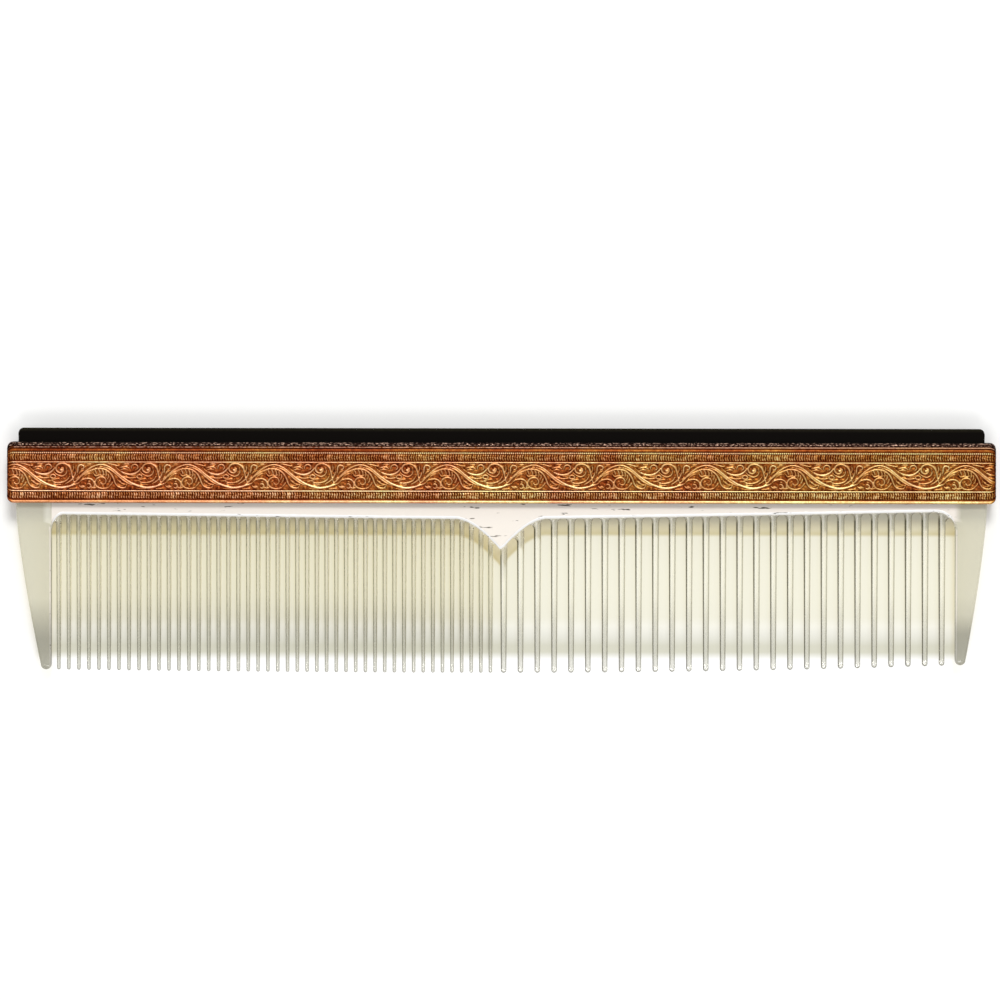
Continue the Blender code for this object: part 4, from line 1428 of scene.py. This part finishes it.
    def outer_edge(self, row: ToothRow, y: Array) -> Array:
        """X of a guard's outer edge: outer + lean * (y / tip)^1.35, straight above the shells' edge.

        Args:
            row: the run of teeth beside the guard.
            y: places along the edge.

        Returns:
            X at each place.
        """
        outer = row.side * row.half_length
        lean = row.guard_x + row.side * self.guard_tip - outer
        tip_y = float(row.tip_y(row.guard_x)) + self.guard_tip / 2
        return outer + lean * np.clip(y / tip_y, 0, 1) ** 1.35

    def guard_cell(self, row: ToothRow, joint: float) -> Array:
        """Front points of a guard.

        Its inner edge follows the round corner from the joint with the first
        tooth, then runs straight down. Both edges carry the bevel, drawn in
        where the guard is narrower than 1.3 mm, and the tip is half a circle
        whose thickness falls as 0.45 + 0.55 * cosine.

        Args:
            row: the run of teeth beside the guard.
            joint: X where the first tooth's cell ends.

        Returns:
            Points as stations x front points x 3, from the sheet's foot down and from left to right.
        """
        radius = self.guard_tip / 2
        tip_y = float(row.tip_y(row.guard_x)) + radius
        corner = np.radians([0, 18, 36, 54, 72, 90])
        down = np.array([0.08, 0.2, 0.35, 0.5, 0.65, 0.8, 0.92, 1.0])
        tip = np.radians([20, 40, 60, 76, 86])
        inner = row.guard_x + (joint - row.guard_x) * (1 - np.sin(corner))
        y = row.root_y(inner)
        y = np.concatenate((y, y[-1] + (tip_y - y[-1]) * down))
        inner = np.concatenate((
            inner, np.full(len(down), row.guard_x), row.guard_x + row.side * radius * (1 - np.cos(tip))
        ))
        outside = np.concatenate((self.outer_edge(row, y), row.guard_x + row.side * radius * (1 + np.cos(tip))))
        y = np.concatenate((y, tip_y - radius * np.sin(tip)))
        tight = np.minimum(1, np.abs(outside - inner) / 1.3)[:, None]
        steps = np.array([0.0, 0.11, 0.23, 0.36, 0.5])
        into = row.side * steps * tight
        near, far = outside[:, None] - into, inner[:, None] + into[:, ::-1]
        x = np.hstack((near, near[:, -1:] + (far[:, :1] - near[:, -1:]) * FLAT, far))
        rise = self.risen(steps)
        rise = np.concatenate((rise, np.ones(len(FLAT)), rise[::-1]))
        half = self.half_at(y)[:, None] * np.ones(FRONT_POINTS)
        half[-len(tip):] *= (0.45 + 0.55 * np.cos(tip))[:, None]
        z = half * (1 - self.bevel / self.frame_half * (1 - rise))
        cell = np.stack((x, y[:, None] * np.ones(FRONT_POINTS), z), -1)
        return cell if row.side < 0 else cell[:, ::-1]

    def sheet(self, foot: Array) -> tuple[Array, int]:
        """Carry the sheet up from the cells' top points.

        Rows stand close together over the bevel, then evenly up to the
        shoulder. The front lies a relief below the frame's face at the root
        line and rises over the bevel; the guards' outer edges keep their own.

        Args:
            foot: top points of all cells from left to right, n x 3.

        Returns:
            Sections as columns x points x 3, and how many points lie on the front.
        """
        close = np.array([0.08, 0.18, 0.30, 0.44, 0.62, 0.90, 1.30])
        share = np.array([0.3, 0.65, 1.0])
        low = foot[:, 1:2] + close
        y = np.hstack((foot[:, 1:2], low, low[:, -1:] * (1 - share) + self.shoulder_y * share))
        x = foot[:, :1] * np.ones(y.shape[1])
        beyond = np.zeros(len(foot), bool)
        rim = np.full(x.shape, self.counted)
        for row in (FINE, COARSE):
            guard = row.side * foot[:, 0] >= row.side * row.guard_x - 1e-9
            edge = self.outer_edge(row, y)
            inside = np.clip((row.side * foot[:, 0] - row.side * row.guard_x) / 4.0, 0, 1) ** 0.7
            x = np.where(guard[:, None], x + inside[:, None] * (edge - edge[:, :1]), x)
            rim = np.where(guard[:, None], np.abs(edge - x), rim)
            beyond |= guard
        end_x = np.where(x < 0, self.outer_edge(FINE, y), self.outer_edge(COARSE, y))
        x[[0, -1]] = end_x[[0, -1]]
        rim[[0, -1]] = 0
        rise = self.risen(self.to_foot(x, y))
        drop = np.where(beyond[:, None], self.bevel, self.relief) * (1 - rise)
        drop = np.maximum(drop, self.bevel * (1 - self.risen(rim)))
        z = self.half_at(y) - drop
        z[:, 0] = foot[:, 2]
        front = np.stack((x, y, z), -1)
        top = np.where(np.abs(x[:, -1]) < self.tongue_reach, self.tongue_top, self.shoulder_y + 0.05)
        step = np.stack((
            np.stack((x[:, -1], y[:, -1], np.full(len(foot), self.tongue_half)), -1),
            np.stack((x[:, -1], top, np.full(len(foot), self.tongue_half)), -1),
        ), 1)
        section = np.concatenate((front, step, step[:, ::-1] * BACKWARDS, front[:, ::-1] * BACKWARDS), 1)
        return section, front.shape[1]

    def looks(self, x: Array, y: Array) -> dict[str, Array]:
        """Work out what the finish needs to know at each point.

        The shares are ramps of y and of three other ways: above, the height over the root line; out, the way into a
        guard from its inner edge; and aside, the way to the right of the nearest tooth's middle. The back is frosted,
        and a guard about half as much; a rim along the root line, matt white most of all, and a line along a guard's
        inner edge are painted highlights. A painted highlight, a stripe of matt white, stands left of each tooth's
        middle, all along the coarse teeth and at the roots of the fine ones. The roots are darkened as painted shadow,
        and the fine teeth are darkened more on their left side and towards the tips. The painted dark edges are
        fainter on each tooth's right side.

        Args:
            x: places along the blade.
            y: heights of the places.

        Returns:
            Numbers per point, by the attribute's name.
        """
        above, aside = y - self.root_line(x), self.aside(x)
        out = np.where(x < 0, FINE.guard_x - x, x - COARSE.guard_x)
        guard = np.clip(out / 0.3 + 0.5, 0, 1)
        fine = (x < FINE.split_x) * (1 - guard)
        right = np.clip(aside / 0.16 + 0.5, 0, 1)
        back, down = ramp(above, 0.25, 0.25), ramp(-y, 15, 9)
        # painted highlight: matt white rim along the root line
        rim = ramp(above, -0.05, 0.1) * ramp(-above, -0.62, 0.15) * (1 - guard)
        # painted highlight: matt white line along a guard's inner edge
        inner = ramp(out, 0, 0.1) * ramp(-out, -0.45, 0.15) * (y < -4.5)
        arch = ramp(-above, 0, 0.2) * ramp(above, -3.1, 0.3)
        # painted highlight: matt white stripe left of each tooth's middle
        shine = np.clip(1 - np.abs(aside + 0.22 - 0.08 * fine) / (0.32 - 0.16 * fine), 0, 1)
        reach = np.maximum(arch, (1 - fine) * 0.85 * ramp(-above, 2, 1))
        shine = shine * reach * (1 - fine * ramp(-above, 0.9, 0.9)) * (1 - guard)
        # painted shadow at the roots
        root = arch * (0.42 + fine * (0.3 * ramp(-above, 0, 3) - 0.12)) * (1 - 0.45 * fine * right)
        # fine teeth darker towards the tips and on their left
        body = fine * (0.15 + 0.4 * down) * (1 - 0.8 * right)
        # painted dark edges fainter on the right of each tooth
        light = np.where(fine > 0.5, 0.36 + 0.64 * right, 0.4 * right) * (1 - 0.5 * down)
        return {
            "frost_and_highlight": np.maximum.reduce(
                [0.92 * back * (1 - guard), 0.5 * guard, rim, 0.85 * inner, 0.15 + 0.28 * shine]
            ),
            "tint": ramp(y, -26.3, 1) * (0.4 + 0.6 * np.maximum(fine, guard)),
            # greyer lower down: grey cast light, and painted shade on the matt parts
            "lower_grey": ramp(-y, 19.5, 3),
            "shade_and_darkening": np.maximum.reduce([root * (1 - shine), body * ramp(-above, 0, 0.5), 0.28 * down]),
            "fine": np.maximum(light, 0.6 * ramp(above, -1.3, 0.6)) * (1 - guard),
        }

    def build(self) -> None:
        """Join the cells and the sheet into one closed mesh, with its looks as attributes."""
        fine, coarse = self.tooth_cells(FINE), self.tooth_cells(COARSE)
        left = self.guard_cell(FINE, fine[0, 0, 0, 0])
        right = self.guard_cell(COARSE, coarse[-1, 0, -1, 0])
        left[0, -1], right[0, 0] = fine[0, 0, 0], coarse[-1, 0, -1]
        skin = Skin()
        tops = []
        for cells in (left[None], fine, coarse, right[None]):
            skin.add_tubes(np.concatenate((cells, cells[:, :, ::-1] * BACKWARDS), 2))
            tops.append(cells[:, 0].reshape(-1, 3))
        foot = np.vstack(tops)
        foot = foot[np.concatenate(([True], np.diff(foot[:, 0]) > 1e-7))]
        skin.add_sheet(*self.sheet(foot))
        points, quads, polygons = skin.merged()
        placed = points * MM + np.array([0, self.edge_y, self.middle_z])
        mesh = make_mesh(self.node + "_clear", placed, quads, polygons, self.looks(*points.T[:2]), 60)
        add_piece(mesh, self.finish, "clear_acrylic", self.node)


@dataclass
class CadPiece:
    """A CAD node that keeps its solid and gets its finish here."""

    node: str
    finish: bpy.types.Material

    def build(self) -> None:
        """Put the finish on the node."""
        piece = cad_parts[self.node]
        piece.data.materials.clear()
        piece.data.materials.append(self.finish)
        LOG.info("%s keeps its CAD solid", self.node)


@dataclass
class Studio:
    """Floor, lamps, world and camera of a plain pale studio.

    Each lamp is a name, a swing in degrees from straight beyond the spine and
    its watts.
    """

    paper: bpy.types.Material
    floor_half_m: float = 1.5
    floor_gap_m: float = 0.00002
    aim_mm: tuple[float, float] = (-0.27, 9.24)
    face_mm: float = 7.0
    view_mm: float = 181.9
    distance_m: float = 0.9
    sensor_mm: float = 36.0
    roll_deg: float = 0.09
    lamps: tuple[tuple[str, float, float], ...] = (("soft_box", 6.0, 31.0), ("soft_fill", 176.0, 7.5))
    lamp_elevation_deg: float = 61.0
    lamp_distance_m: float = 2.5
    lamp_size_m: float = 0.7
    world_level: float = 0.62

    def floor(self) -> None:
        """Lay a wide sheet: one flat square just under the comb."""
        ways = ((-1, -1), (1, -1), (1, 1), (-1, 1))
        points = [(x * self.floor_half_m, y * self.floor_half_m, -self.floor_gap_m) for x, y in ways]
        mesh = bpy.data.meshes.new("paper_floor")
        mesh.from_pydata(points, [], [(0, 1, 2, 3)])
        mesh.materials.append(self.paper)
        sheet = bpy.data.objects.new("paper_floor", mesh)
        bpy.context.scene.collection.objects.link(sheet)

    def lamp(self, name: str, swing_deg: float, watts: float) -> None:
        """Hang a large soft lamp.

        Args:
            name: name of the lamp.
            swing_deg: turn from straight beyond the spine, to the right.
            watts: its power.
        """
        up, swing = math.radians(self.lamp_elevation_deg), math.radians(swing_deg)
        data = bpy.data.lights.new(name, "AREA")
        data.shape, data.size, data.energy = "DISK", self.lamp_size_m, watts
        lamp = bpy.data.objects.new(name, data)
        lamp.location = [
            self.lamp_distance_m * part
            for part in (math.cos(up) * math.sin(swing), math.cos(up) * math.cos(swing), math.sin(up))
        ]
        lamp.rotation_euler = (up - math.pi / 2, 0, -swing)
        bpy.context.scene.collection.objects.link(lamp)

    def world(self) -> None:
        """Fill the room with plain even light."""
        world = bpy.data.worlds.new("plain_room")
        bpy.context.scene.world = world
        world.use_nodes = True
        tree = world.node_tree
        tree.nodes.clear()
        room = add_node(tree, "ShaderNodeBackground", None, {"Color": WHITE, "Strength": self.world_level})
        add_node(tree, "ShaderNodeOutputWorld", None, {"Surface": room.outputs[0]})

    def camera(self) -> None:
        """Look straight down; lens = sensor * distance / width seen at the front face."""
        data = bpy.data.cameras.new("overhead")
        data.sensor_width = self.sensor_mm
        data.lens = self.sensor_mm * self.distance_m / (self.view_mm * MM)
        data.clip_start, data.clip_end = 0.01, 20.0
        camera = bpy.data.objects.new("overhead", data)
        camera.location = (self.aim_mm[0] * MM, self.aim_mm[1] * MM, self.face_mm * MM + self.distance_m)
        camera.rotation_euler = (0, 0, math.radians(self.roll_deg))
        bpy.context.scene.collection.objects.link(camera)
        bpy.context.scene.camera = camera

    def build(self) -> None:
        """Set up the whole studio."""
        self.floor()
        for lamp in self.lamps:
            self.lamp(*lamp)
        self.world()
        self.camera()
        bpy.context.scene.view_settings.view_transform = "Standard"


def corners(box: tuple) -> list[list[float]]:
    """Turn a pair of corners into plain lists."""
    return [[float(value) for value in corner] for corner in box]


def main() -> None:
    logging.basicConfig(level=logging.INFO, format="%(name)s: %(message)s")
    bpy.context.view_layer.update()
    gilt = GiltBrass().material()
    pieces = [
        Shell(Face.FRONT, gilt),
        Shell(Face.REAR, gilt),
        CadPiece("spine_bar", BlackPlastic(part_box("spine_bar")[1].y / MM).material()),
        Blade(ClearAcrylic().material()),
    ]
    brass = DrawnBrass().material()
    pieces += [CadPiece(node, brass) for node in sorted(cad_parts) if node.startswith("spine_pin")]
    for piece in pieces:
        piece.build()
        LOG.info("built %s", piece.node)
    web = (FINE.web_x, FINE.web_half_width, FINE.web_depth)
    paper = WhitePaper(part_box("front_shell")[0].y / MM, FINE.split_x, web)
    Studio(paper.material()).build()


if __name__ == "__main__":
    main()
